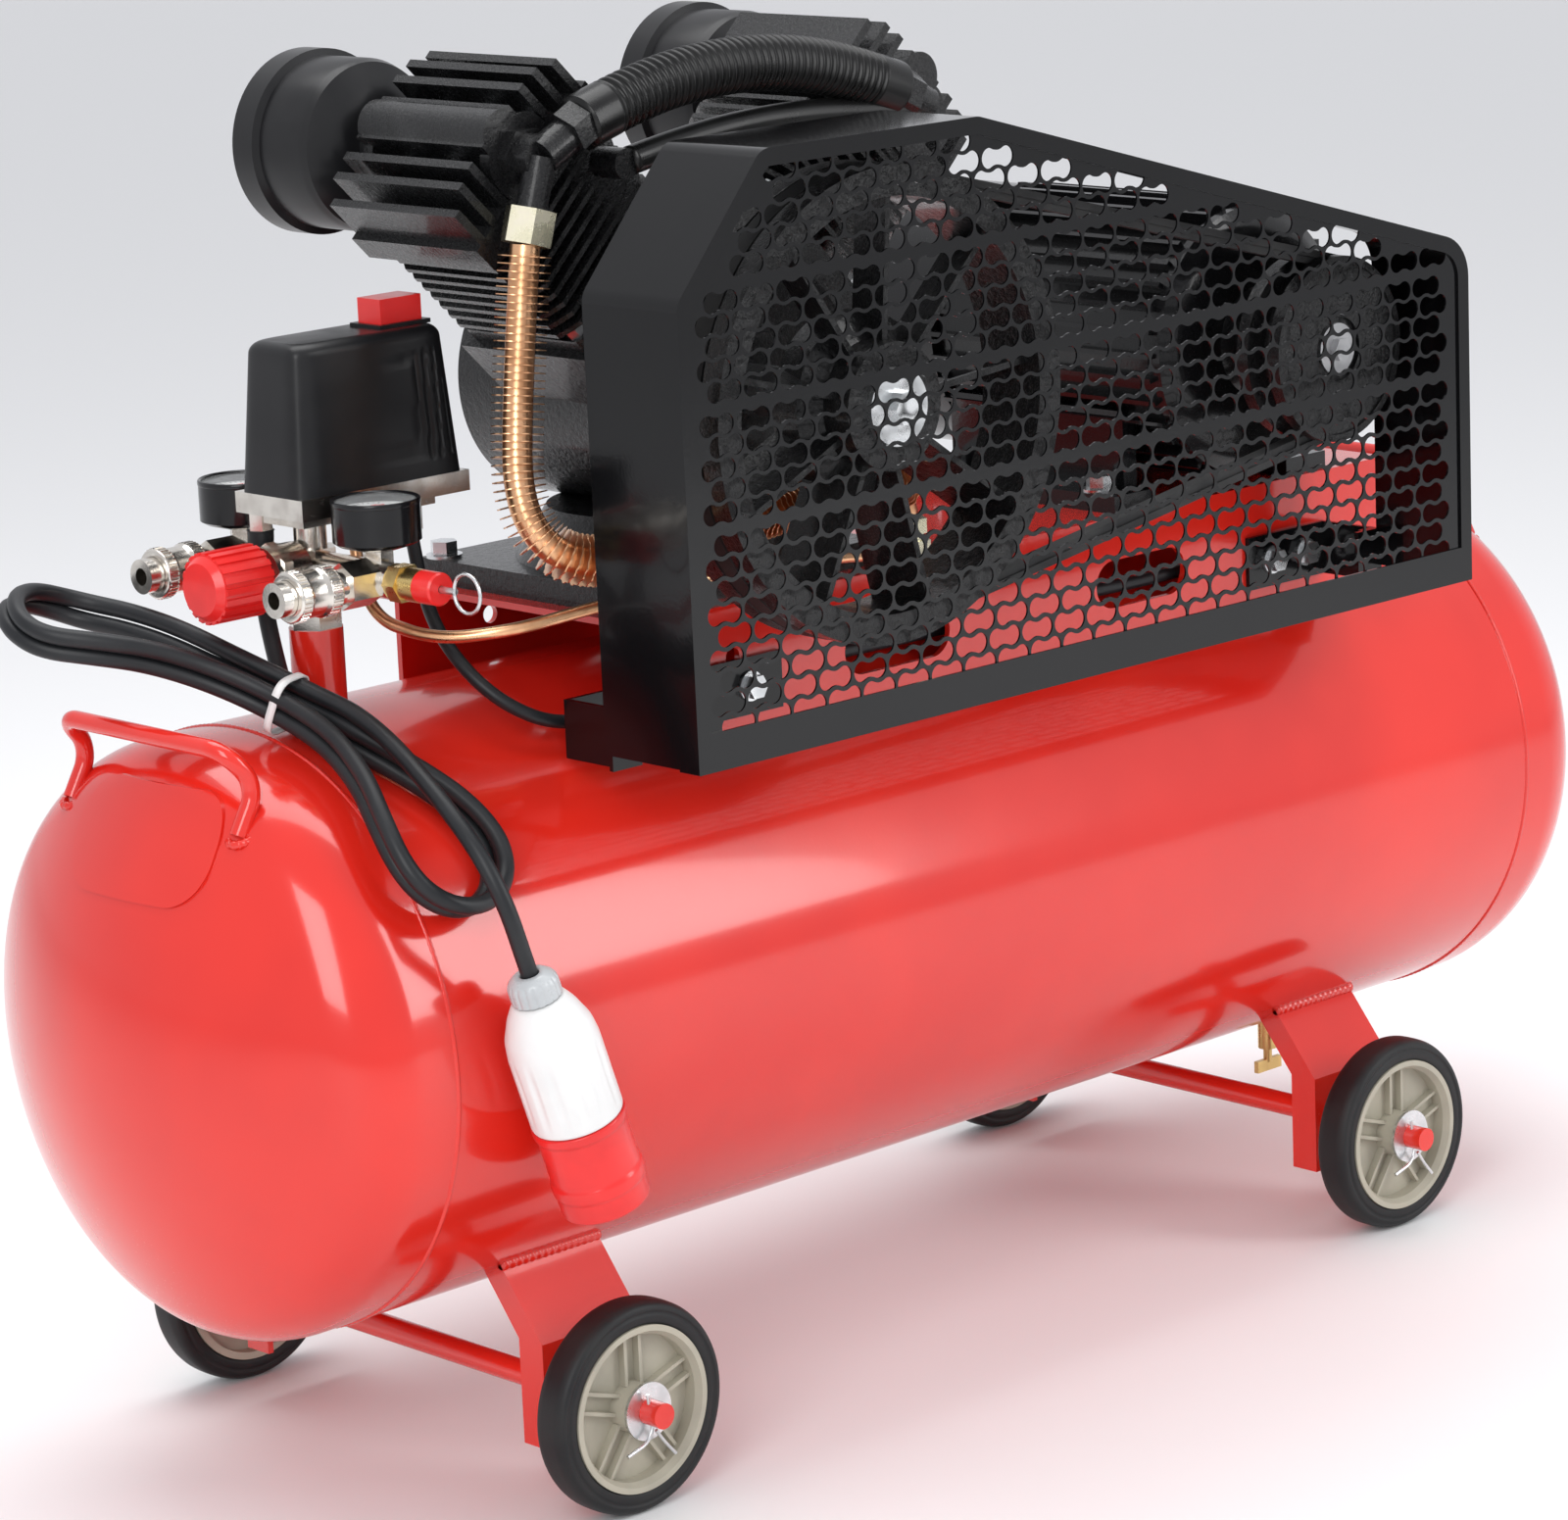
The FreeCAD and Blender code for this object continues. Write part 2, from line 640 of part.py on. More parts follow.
def guard_arms():
    """Two folded arms that carry the guard from the saddle's front skirt."""
    skirt = -float(size("saddle_half"))
    back = float(size("guard_front")) + float(size("guard_depth"))
    metal, low, tall = 3.0, 423.0, 34.0
    arms = []
    for word, start, end, wall in (("left", -317.0, -150.0, -317.0), ("right", 262.0, 337.0, 337.0 - metal)):
        plate = Part.makeBox(end - start, metal, tall, Vector(start, skirt - metal, low))
        web = Part.makeBox(metal, skirt - back + 1, tall, Vector(wall, back - 1, low))
        foot = Part.makeBox(14.0, metal, tall,
                            Vector(wall if word == "left" else wall - 11.0, back - 1, low))
        arms.append(feature(f"arm_{word}", plate.fuse([web, foot]).removeSplitter()))
    ears = [block(f"guard_ear_{word}", length, metal, tall, (start, back - 1 - metal, low))
            for word, start, length in (("left", -324.5, 22.0), ("right", 316.0, 22.5))]
    return node("guard_arms", group("arms", *arms, *ears))


# ---- The drive ----

crank_place = size("crank_place")
crank_height = size("crank_height")
motor_place = size("motor_place")
motor_height = size("motor_height")
BELT_LINE = -187.0
FORWARD = (0, -1, 0)


def groove(radius, middle):
    """Corners of a belt groove in a rim, from its rear edge to its front edge."""
    depth, open_half, floor_half = 11.5, 8.2, 4.6
    return [(radius, middle - open_half), (radius - depth, middle - floor_half),
            (radius - depth, middle + floor_half), (radius, middle + open_half)]


def fan_blade(angle):
    """One slanted spoke of the flywheel, from the hub to the rim."""
    inner, outer, half, slant = 36.0, 120.0, 1.9, 10.0
    front, rear = float(size("flywheel_front")) + 9.5, float(size("flywheel_front")) + 44.5
    turn = math.radians(angle)
    radial = Vector(math.cos(turn), 0, math.sin(turn))
    aside = Vector(-math.sin(turn), 0, math.cos(turn))
    base = Vector(float(crank_place), 0, float(crank_height)) + radial * inner
    corners = [base + aside * half + Y * front, base - aside * half + Y * front,
               base - aside * (half + slant) + Y * rear, base + aside * (half - slant) + Y * rear]
    return Part.Face(Part.makePolygon(corners + corners[:1])).extrude(radial * (outer - inner))


def flywheel():
    """A grooved rim and a hub joined by nine slanted fan blades."""
    radius, wide = size("flywheel_radius"), size("flywheel_width")
    inner = radius - 17.5
    rear = (crank_place, size("flywheel_front") + wide, crank_height)
    middle = float(size("flywheel_front")) + float(wide) - BELT_LINE
    rim = turned("flywheel_rim",
                 [(inner, 0), (radius, 0)] + groove(radius, middle) + [(radius, wide), (inner, wide)],
                 rear, FORWARD)
    hub = turned("flywheel_hub", [(15.02, 0), (52, 0), (52, 20), (37, 26), (37, wide), (15.02, wide)], rear,
                 FORWARD)
    blades = [feature(f"blade_{index}", fan_blade(5 + 40 * index)) for index in range(9)]
    return node("flywheel", fuse("flywheel_casting", rim, hub, *blades))


def crankshaft():
    """The shaft, its two webs and throw, and the washer and bolt on its nose."""
    front = size("flywheel_front")
    nose = rod("crank_nose", 15.0, -60 - front, (crank_place, front, crank_height), Y)
    webs = [rod(f"crank_web_{start}", 38.0, 12, (crank_place, start, crank_height), Y) for start in (-60, 8)]
    throw = rod("crank_throw", 10.0, 58, (crank_place, -49, crank_height + 23), Y)
    tail = rod("crank_tail", 12.5, 57, (crank_place, 19, crank_height), Y)
    washer = rod("crank_washer", 22.5, 4, (crank_place, front, crank_height), FORWARD)
    bolt = nut("crank_bolt", 10.5, 8, (crank_place, front - 4, crank_height), FORWARD)
    return node("crankshaft", fuse("crank", nose, tail, throw, washer, bolt, *webs))


def belt_loop(large, small):
    """The closed loop round both wheels at two radii."""
    first = Vector(float(crank_place), 0, float(crank_height))
    second = Vector(float(motor_place), 0, float(motor_height))
    line = second - first
    level = math.atan2(line.z, line.x)
    open_angle = math.acos((large - small) / line.Length)

    def rim_point(centre, radius, angle):
        return centre + Vector(math.cos(angle), 0, math.sin(angle)) * radius

    top, bottom = level + open_angle, level - open_angle
    return Part.Wire([
        Part.Arc(rim_point(first, large, top), rim_point(first, large, level + math.pi),
                 rim_point(first, large, bottom)).toShape(),
        Part.LineSegment(rim_point(first, large, bottom), rim_point(second, small, bottom)).toShape(),
        Part.Arc(rim_point(second, small, bottom), rim_point(second, small, level),
                 rim_point(second, small, top)).toShape(),
        Part.LineSegment(rim_point(second, small, top), rim_point(first, large, top)).toShape(),
    ])


def belt_band(outside, inside, width):
    """One layer of the belt between two depths below the rims."""
    large, small = float(size("flywheel_radius")), float(size("pulley_radius"))
    outer = Part.Face(belt_loop(large - outside, small - outside))
    inner = Part.Face(belt_loop(large - inside, small - inside))
    return outer.cut(inner).extrude(Vector(0, width, 0)).translated(Vector(0, BELT_LINE - width / 2, 0))


def drive_belt():
    """The belt: a wide back over a narrower toe."""
    wide, depth = float(size("belt_width")), float(size("belt_depth"))
    back = belt_band(0.0, depth / 2, wide)
    toe = belt_band(depth / 2 - 0.1, depth, wide - 3.8)
    return node("drive_belt", feature("belt", back.fuse(toe).removeSplitter()))


def motor_pulley():
    """The small grooved pulley on the motor's shaft."""
    radius, wide, rear = size("pulley_radius"), 34.0, -170.0
    outline = [(12.02, 0), (22, 0), (22, 4), (40, 4), (40, 0), (radius, 0)] + groove(radius,
                                                                                     rear - BELT_LINE)
    outline += [(radius, wide), (53, wide), (53, wide - 1.5), (20, wide - 1.5), (20, wide - 4),
                (12.02, wide - 4)]
    return node("motor_pulley", turned("pulley", outline, (motor_place, rear, motor_height), FORWARD))


def motor_shaft():
    """The shaft with its rotor, cooling fan and the bolt that holds the pulley."""
    shaft = rod("motor_bar", 12.0, 324, (motor_place, -200, motor_height), Y)
    rotor = rod("rotor", 45.0, 110, (motor_place, -80, motor_height), Y)
    fan_hub = rod("fan_hub", 20.0, 26, (motor_place, 96, motor_height), Y)
    cap = rod("pulley_washer", 16.0, 2, (motor_place, -200, motor_height), FORWARD)
    bolt = nut("pulley_bolt", 7.5, 5, (motor_place, -202, motor_height), FORWARD)
    blades = []
    for index in range(6):
        turn = Rotation(Y, 60 * index)
        corner = turn.multVec(Vector(19, 0, -1.5))
        blades.append(block(f"fan_blade_{index}", 45, 22, 3,
                            (motor_place + corner.x, 98, motor_height + corner.z), turn))
    return node("motor_shaft", fuse("rotating_shaft", shaft, rotor, fan_hub, cap, bolt, *blades))


def ribbed_outline(count, root, tip, width):
    """A closed outline of square ribs standing round a circle."""
    corners = []
    for index in range(count):
        middle = 2 * math.pi * index / count
        for radius, side in ((root, -1), (tip, -1), (tip, 1), (root, 1)):
            angle = middle + side * width / (2 * radius)
            corners.append(Vector(radius * math.cos(angle), 0, radius * math.sin(angle)))
    return Part.Wire(Part.makePolygon(corners + corners[:1]))


def motor_housing():
    """The finned housing on its two feet, with the stator inside."""
    radius, front, long = float(size("motor_radius")), float(size("motor_front")), float(size("motor_length"))
    fins = Part.Face(ribbed_outline(36, radius, radius + 8, 3.0)).extrude(Vector(0, long, 0))
    fins = fins.translated(Vector(float(motor_place), front, float(motor_height)))
    bar = feature("motor_fins", fins)
    top = size("saddle_top")
    feet = []
    for side, start in (("left", -100.0), ("right", 62.0)):
        feet.append(block(f"motor_foot_{side}", 38, 180, 11, (motor_place + start, -104, top)))
        web = start + 24 if side == "left" else start + 2
        feet.append(block(f"motor_web_{side}", 12, 150, 60, (motor_place + web, -90, top)))
    hollow = rod("motor_hollow", radius - 6, long + 20, (motor_place, front - 10, motor_height), Y)
    rings = rod("stator_outside", radius - 6.1, 100, (motor_place, -75, motor_height), Y)
    core = rod("stator_inside", 46.0, 110, (motor_place, -80, motor_height), Y)
    shell = cut("motor_casting", fuse("motor_solid", bar, *feet), hollow)
    return node("motor_housing", group("motor_body", shell, cut("stator", rings, core)))


def motor_covers():
    """The front bearing shield and the fan cowl with its slots."""
    front, radius, long = size("motor_front"), size("motor_radius"), size("motor_length")
    shield = turned("front_shield",
                    [(12.05, 0), (radius + 4, 0), (radius + 4, 6), (radius - 8, 12), (34, 12),
                                     (28, 17), (12.05, 17)], (motor_place, front, motor_height), FORWARD)
    rear = front + long
    reach = 84.0
    cowl = turned("fan_cowl",
                  [(12.05, 0), (radius + 6, 0), (radius + 6, reach - 6), (radius, reach), (0, reach),
                               (0, reach - 2), (radius - 1, reach - 2), (radius + 4, reach - 7),
                   (radius + 4, 8),
                               (26, 8), (26, 18), (12.05, 18)], (motor_place, rear, motor_height), Y)
    slots = []
    for index in range(-4, 5):
        half = math.sqrt(66.0 ** 2 - (index * 13.0) ** 2)
        slots.append(block(f"cowl_slot_{index + 4}", half * 2, 20, 5,
                           (motor_place - half, 140, motor_height + index * 13.0 - 2.5)))
    return node("motor_covers", group("covers", shield, cut("cowl", cowl, *slots)))


def terminal_box():
    """The box beside the motor where its cable ends."""
    inner, outer = 337.0, 392.0
    body = block("box_body", outer - inner, 96, 78, (inner, -58, 549))
    lid = block("box_lid", 5, 100, 82, (outer, -60, 547))
    gland = nut("box_gland", 9, 8, (372, -10, 541))
    saddle_cut = rod("box_seat", size("motor_radius") + 8.2, 130, (motor_place, -70, motor_height), Y)
    screws = [rod(f"box_screw_{across}_{up}", 2.6, 2, (outer + 5, across, up), X)
              for across in (-53, 33) for up in (554, 622)]
    return node("terminal_box", cut("box", fuse("box_solid", body, lid, gland, *screws), saddle_cut))


# ---- The pump ----

BANKS = (("left", -1), ("right", 1))
BORE_LINE = -20.0
HALF_BLOCK = 55.0


def bank_turn(side):
    """The lean of one cylinder."""
    return Rotation(Y, 45.0 * side)


def bank_axis(side):
    """Outwards along one cylinder."""
    return bank_turn(side).multVec(Z)


def bank_point(side, across, level, reach):
    """A point given across, along and outwards from the crankshaft in one leaning bank."""
    moved = bank_turn(side).multVec(Vector(across, 0, reach))
    return (crank_place + moved.x, level, crank_height + moved.z)


def bank_block(name, side, half, start, end, reach, height, middle=0.0):
    """A box in a leaning bank, from one level to another and outwards from a reach."""
    at = bank_point(side, middle - half, start, reach)
    return block(name, half * 2, end - start, height, at, bank_turn(side))


def crankcase():
    """The cast case on its foot, open inside for the crank and the pistons."""
    top = size("saddle_top")
    solids = [
        block("pump_foot", 200, 190, 15, (crank_place - 100, -92, top)),
        cone("pump_neck", 88, 66, 34, (crank_place, -5, top + 12)),
        rod("case_drum", 76, 180, (crank_place, -98, crank_height), Y),
        rod("front_boss", 34, 6, (crank_place, -98, crank_height), FORWARD),
        block("breather_deck", 64, 100, 90, (crank_place - 32, -35, crank_height + 2)),
        rod("filler_neck", 10, 8, (crank_place + 17, 50, crank_height + 90)),
        rod("sight_ring", 15, 5, (crank_place + 40, -98, crank_height - 52), FORWARD),
    ]
    rooms = [rod("crank_room", 62, 156, (crank_place, -86, crank_height), Y),
             rod("front_bearing", 15.05, 40, (crank_place, -110, crank_height), Y),
             rod("rear_bearing", 12.55, 10, (crank_place, 68, crank_height), Y)]
    for word, side in BANKS:
        solids.append(bank_block(f"shoulder_{word}", side, 56, BORE_LINE - 58, BORE_LINE + 58, 20, 78))
        rooms.append(rod(f"bore_way_{word}", 34, 90, bank_point(side, 0, BORE_LINE, 20), bank_axis(side)))
    return node("crankcase", cut("case", fuse("case_solid", *solids), fuse("case_rooms", *rooms)))


def cylinders():
    """Two finned barrels that stand on the case's shoulders."""
    bore = size("bore_radius")
    barrels = []
    for word, side in BANKS:
        axis = bank_axis(side)
        low, high = BORE_LINE - HALF_BLOCK, BORE_LINE + HALF_BLOCK
        fins = [bank_block(f"fin_{word}_{index}", side, HALF_BLOCK, low, high, 116 + 8.6 * index, 3.2)
                for index in range(8)]
        base = bank_block(f"barrel_base_{word}", side, 51, BORE_LINE - 51, BORE_LINE + 51, 98, 10)
        deck = bank_block(f"barrel_deck_{word}", side, 53, BORE_LINE - 53, BORE_LINE + 53, 183, 5)
        barrel = rod(f"barrel_{word}", 41, 88, bank_point(side, 0, BORE_LINE, 99), axis)
        keep = rod(f"fin_circle_{word}", 70, 100, bank_point(side, 0, BORE_LINE, 95), axis)
        hole = rod(f"bore_{word}", bore, 110, bank_point(side, 0, BORE_LINE, 90), axis)
        solid = common(f"barrel_trim_{word}", fuse(f"barrel_solid_{word}", barrel, base, deck, *fins), keep)
        barrels.append(cut(f"cylinder_{word}", solid, hole))
    return node("cylinders", group("barrels", *barrels))


def cylinder_heads():
    """Two ribbed heads with a duct along each."""
    heads = []
    for word, side in BANKS:
        low, high = BORE_LINE - HALF_BLOCK, BORE_LINE + HALF_BLOCK
        pieces = [bank_block(f"head_base_{word}", side, 61, low, high, 188, 17),
                  bank_block(f"head_duct_{word}", side, 15, low, high, 204, 36),
                  rod(f"head_crown_{word}", 15, high - low, bank_point(side, 0, low, 232), Y)]
        for index, (middle,
                    tall) in enumerate(((-54, 26), (-41, 34), (-28, 36), (28, 36), (41, 34), (54, 26))):
            pieces.append(bank_block(f"head_rib_{word}_{index}", side, 2.6, low, high, 204, tall, middle))
        for start in (low, high - 8):
            pieces.append(rod(f"head_port_{word}_{int(start)}", 25, 8, bank_point(side, 0, start, 213), Y))
        heads.append(fuse(f"head_{word}", *pieces))
    return node("cylinder_heads", group("heads_pair", *heads))


def pump_bolts():
    """The socket bolts of the heads and the hexagon bolts of the barrels' feet."""
    bolts = []
    for word, side in BANKS:
        axis = bank_axis(side)
        for across in (-20.2, 20.2):
            for level in (-58, -20, 18):
                at = bank_point(side, across, level, 205)
                head = rod(f"head_bolt_{word}_{across}_{level}", 5.0, 8, at, axis)
                socket = nut(f"head_socket_{word}_{across}_{level}", 3.2, 6,
                             bank_point(side, across, level, 209), axis)
                bolts.append(cut(f"head_screw_{word}_{across}_{level}", head, socket))
        for across in (-44, 44):
            for level in (BORE_LINE - 44, BORE_LINE + 44):
                bolts.append(nut(f"foot_bolt_{word}_{across}_{int(level)}", 6, 6,
                                 bank_point(side, across, level, 108), axis))
    return node("pump_bolts", group("pump_screws", *bolts))


def piston(word, side):
    """One ringed piston at the middle of its stroke."""
    radius = size("bore_radius") - 0.05
    outline = [(20, 0), (radius, 0)]
    for ring in (28.0, 35.0, 42.0):
        outline += [(radius, ring), (radius - 1.2, ring), (radius - 1.2, ring + 2.4), (radius, ring + 2.4)]
    outline += [(radius, 56), (0, 56), (0, 44), (20, 44)]
    return node(f"piston_{word}", turned(f"piston_body_{word}", outline, bank_point(side, 0, BORE_LINE, 108),
                                         bank_axis(side)))


def intake_filters():
    """Two black canisters behind the heads."""
    radius = size("filter_radius")
    start = BORE_LINE + HALF_BLOCK
    deep = size("filter_back") - start
    cans = []
    for word, side in BANKS:
        outline = [(0, 0), (19, 0), (19, 12), (30, 14), (48, 24), (50, 30), (50, deep - 24),
                   (radius, deep - 22),
                   (radius, deep - 4), (radius - 4, deep), (0, deep)]
        can = turned(f"filter_can_{word}", outline, bank_point(side, 0, start, 212), Y)
        wing = nut(f"filter_nut_{word}", 8, 5, bank_point(side, 0, float(size("filter_back")), 212), Y)
        cans.append(fuse(f"filter_{word}", can, wing))
    return node("intake_filters", group("filters", *cans))


# ---- The air lines ----

AIR_LINE = -93.0
LEFT_PORT = (-298.5, AIR_LINE, 760.0)
RIGHT_PORT = (5.0, AIR_LINE, 758.0)
HOSE_ROUTE = [(-268, AIR_LINE, 776), (-227, AIR_LINE, 789), (-172, AIR_LINE, 797), (-115, AIR_LINE, 796),
              (-60, AIR_LINE, 785), (-21, AIR_LINE, 771)]
SLIM_ROUTE = [(-232, AIR_LINE, 751), (-199, AIR_LINE, 757), (-140, AIR_LINE, 763), (-75, AIR_LINE, 763),
              (-13, AIR_LINE, 757)]
DISCHARGE_ROUTE = [(-313, -93, 713), (-327, -95, 630), (-339, -105, 562), (-316, -128, 533),
                   (-240, -131, 538),
                   (-160, -130, 545), (-82, -120, 545), (-34, -101, 537), (-28, -97, 514)]
UNLOADER_ROUTE = [(-373, 0, 562), (-376, -6, 530), (-384, -30, 505), (-376, -72, 497), (-348, -104, 501),
                  (-290, -119, 508), (-204, -119, 511), (-112, -119, 506), (-66, -113, 500), (-39, -99, 501)]


def outlet_elbows():
    """The black elbows on the heads' front ports and the hexagons that take the hoses."""
    pieces = []
    front = BORE_LINE - HALF_BLOCK
    for word, port, start in (("left", LEFT_PORT, HOSE_ROUTE[0]), ("right", RIGHT_PORT, HOSE_ROUTE[-1])):
        lean = (Vector(*start) - Vector(*port)).normalize()
        reach = (Vector(*start) - Vector(*port)).Length
        stem = rod(f"elbow_stem_{word}", 13, 20, (port[0], front, port[2]), FORWARD)
        collar = nut(f"elbow_collar_{word}", 17, 8, (port[0], front, port[2]), FORWARD)
        arm = rod(f"elbow_arm_{word}", 11, reach, port, lean)
        hexagon = nut(f"elbow_hexagon_{word}", 15, 14, Vector(*port) + lean * (reach - 14), lean)
        pieces.append(fuse(f"elbow_{word}", stem, collar, arm, hexagon))
    drop = (Vector(*DISCHARGE_ROUTE[0]) - Vector(*LEFT_PORT)).normalize()
    leg = rod("elbow_leg", 9, 30, LEFT_PORT, drop)
    stub = rod("slim_stub", 9, 22, (-238, front, 750), FORWARD)
    return node("outlet_elbows", group("elbows", fuse("elbow_tee", pieces[0], leg), pieces[1], stub))


def crossover_hose():
    """The thick hose between the heads and the slim one below it."""
    thick = feature("thick_hose", swept(HOSE_ROUTE, 16.5)[0])
    slim = feature("slim_hose", swept(SLIM_ROUTE, 8.5)[0])
    return node("crossover_hose", group("hoses", thick, slim))


def discharge_tube():
    """The bent copper pipe that takes the air down to the tank, with its cooling fins."""
    route, length, tightest = swept(DISCHARGE_ROUTE, 8.5)
    return node("discharge_tube", feature("copper_pipe", route))


def tube_nuts():
    """The zinc nut at the top of the copper pipe and the brass check valve at its foot."""
    start, after = Vector(*DISCHARGE_ROUTE[0]), Vector(*LEFT_PORT)
    up = (after - start).normalize()
    top = nut("tube_nut_top", 15, 20, start, up)
    at = (-28, -97, size("saddle_top"))
    pieces = [nut("check_hexagon", 15, 12, at), rod("check_body", 11.5, 16, at),
              nut("check_cap", 13, 9, (-28, -97, 505.5))]
    return node("tube_nuts", group("pipe_nuts", top, fuse("check_valve", *pieces)))


def unloader_tube():
    """The thin line from the switch to the check valve."""
    return node("unloader_tube", feature("thin_line", swept(UNLOADER_ROUTE, 3.6)[0]))


# ---- The controls ----

post = size("post_place")
bar_height = size("manifold_height")
outlet_side = size("outlet_side")
OUTLETS = (("left", 1), ("right", -1))


def manifold():
    """The nickel pipe and cross bar, with the regulator's body and both coupler bodies."""
    tip = -479.0
    pieces = [
        nut("post_reducer", 16, 12, (post, 0, tank_height + tank_radius + 48)),
        rod("riser", 9.5, 50, (post, 0, tank_height + tank_radius + 59)),
        rod("cross_bar", 10.5, outlet_side * 2 + 27, (post, -outlet_side - 15, bar_height), Y),
        nut("riser_hexagon", 15, 24, (post, 0, bar_height - 12)),
        rod("regulator_neck", 17, 24, (post - 12, 0, bar_height), (-1, 0, 0)),
        nut("regulator_ring", 19, 6, (post - 26, 0, bar_height), (-1, 0, 0)),
        rod("regulator_stem", 5, 14, (post - 35, 0, bar_height), (-1, 0, 0)),
    ]
    for word, side in OUTLETS:
        level = side * outlet_side
        pieces.append(nut(f"coupler_hexagon_{word}", 13.5, 20, (post - 8, level, bar_height), (-1, 0, 0)))
        pieces.append(rod(f"coupler_nose_{word}", 10, float(post) - tip, (post, level, bar_height),
                          (-1, 0, 0)))
        pieces.append(nut(f"gauge_hexagon_{word}", 9, 8, (post, level, bar_height + 9)))
    bores = [rod(f"outlet_bore_{word}", 5, 24, (tip + 24, side * outlet_side, bar_height), (-1, 0, 0))
             for word, side in OUTLETS]
    bores.append(rod("valve_bore", 4, 24, (post, -outlet_side - 20, bar_height), Y))
    return node("manifold",
                cut("manifold_brass", fuse("manifold_solid", *pieces), fuse("manifold_bores", *bores)))


def regulator_knob():
    """The ribbed red knob on the regulator's stem."""
    face = Part.Face(ribbed_outline(20, 19.2, 20.5, 3.6))
    solid = face.extrude(Vector(0, 34, 0)).rotated(Vector(0, 0, 0), Z, 90)
    body = feature("knob_grip", solid.translated(Vector(float(post) - 42, 0, float(bar_height))))
    crown = cone("knob_crown", 18.5, 15, 4, (post - 76, 0, bar_height), (-1, 0, 0))
    seat = rod("knob_seat", 5.05, 10, (post - 40, 0, bar_height), (-1, 0, 0))
    return node("regulator_knob", cut("knob", fuse("knob_solid", body, crown), seat))


def coupler_sleeve(word, side):
    """The grooved sleeve that lets go of a hose's plug."""
    outline = [(10.05, 0), (14.5, 0), (14.5, 6), (13.4, 8), (13.4, 20), (14.5, 22), (14.5, 30), (10.05, 30)]
    at = (-470, side * outlet_side, bar_height)
    return node(f"coupler_sleeve_{word}", turned(f"sleeve_{word}", outline, at, X))


def gauge_cases():
    """Two gauge cups that face up, each with a dial recess."""
    cups = []
    for word, side in OUTLETS:
        outline = [(0.85, 0), (12, 0), (22, 3), (25, 5), (25, 27), (23.2, 27), (23.2, 22), (0.85, 22)]
        cups.append(turned(f"gauge_{word}", outline, (post, side * outlet_side, bar_height + 17.2), Z))
    return node("gauge_cases", group("gauges", *cups))


def gauge_needle(word, side):
    """The red pointer and its pivot pin."""
    level = side * outlet_side
    base = bar_height + 17.2
    pin = rod(f"needle_pin_{word}", 0.8, 8, (post, level, base + 17))
    disc = rod(f"needle_disc_{word}", 2.6, 1.2, (post, level, base + 23.4))
    pointer = block(f"needle_bar_{word}", 25, 1.3, 1.0, (post - 19, level - 0.65, base + 23.5))
    return node(f"gauge_needle_{word}", fuse(f"needle_{word}", pin, disc, pointer))


def safety_valve():
    """The brass relief valve with its red cap at the front end of the bar."""
    front = -outlet_side - 15
    pieces = [nut("relief_hexagon", 11.5, 10, (post, front, bar_height), FORWARD),
              rod("relief_body", 9.5, 14, (post, front - 9, bar_height), FORWARD),
              rod("relief_cap", 8.5, 15, (post, front - 22, bar_height), FORWARD)]
    seat = rod("relief_seat", 2.05, 20, (post, front - 20, bar_height), FORWARD)
    return node("safety_valve", cut("relief", fuse("relief_solid", *pieces), seat))


def safety_ring():
    """The pull ring and its stem."""
    front = -outlet_side - 15
    stem = rod("ring_stem", 2.0, 24, (post, front - 26, bar_height), FORWARD)
    ring = primitive("Torus", "ring_loop", (post, front - 60, bar_height), Rotation(Y, 90), Radius1=11.0,
                     Radius2=1.1)
    return node("safety_ring", fuse("pull_ring", stem, ring))


def rounded_plate(length, width, corner, middle, height):
    """A closed outline of a rounded rectangle at a height."""
    box = Part.makeBox(length, width, 1, Vector(middle - length / 2, -width / 2, height))
    box = box.makeFillet(corner,
                         [edge for edge in box.Edges if abs(edge.tangentAt(edge.FirstParameter).z) > 0.9])
    faces = [face for face in box.Faces if face.CenterOfMass.z < height + 0.01]
    return faces[0].OuterWire


def cover_solid(inset):
    """The tapered cover, shrunk by an inset on its sides and top."""
    low = rounded_plate(122.0 - inset * 2, 60.0 - inset * 2, 12.0 - inset, -371.0, 580.0)
    high = rounded_plate(108.0 - inset * 2, 50.0 - inset * 2, 12.0 - inset, -371.0, 665.0 - inset)
    return Part.makeLoft([low, high], True, True)


def switch_cover():
    """The black cover of the pressure switch, with an opening for its button."""
    opening = Part.makeBox(30.8, 20.8, 30, Vector(-352.4, -10.4, 650))
    shell = cover_solid(0.0).cut(cover_solid(2.5)).cut(opening)
    return node("switch_cover", feature("cover", shell))


def switch_base():
    """The cast base with its glands and the contact block it carries."""
    plate = block("base_plate", 122, 60, 12, (-432, -30, 568))
    foot = block("base_foot", 96, 40, 8, (-424, -20, 562))
    contacts = block("contact_block", 60, 36, 42, (-424, -18, 580))
    main_gland = nut("mains_gland", 7.4, 11, (-421, 23, 557))
    motor_gland = nut("motor_gland", 7.4, 20, (-339, -10, 548))
    return node("switch_base", fuse("switch_casting", plate, foot, contacts, main_gland, motor_gland))


def switch_button():
    """The red push button on top of the switch."""
    return node("switch_button", block("button", 30, 20, 26, (-352, -10, 655)))


# ---- The cables and the plug ----

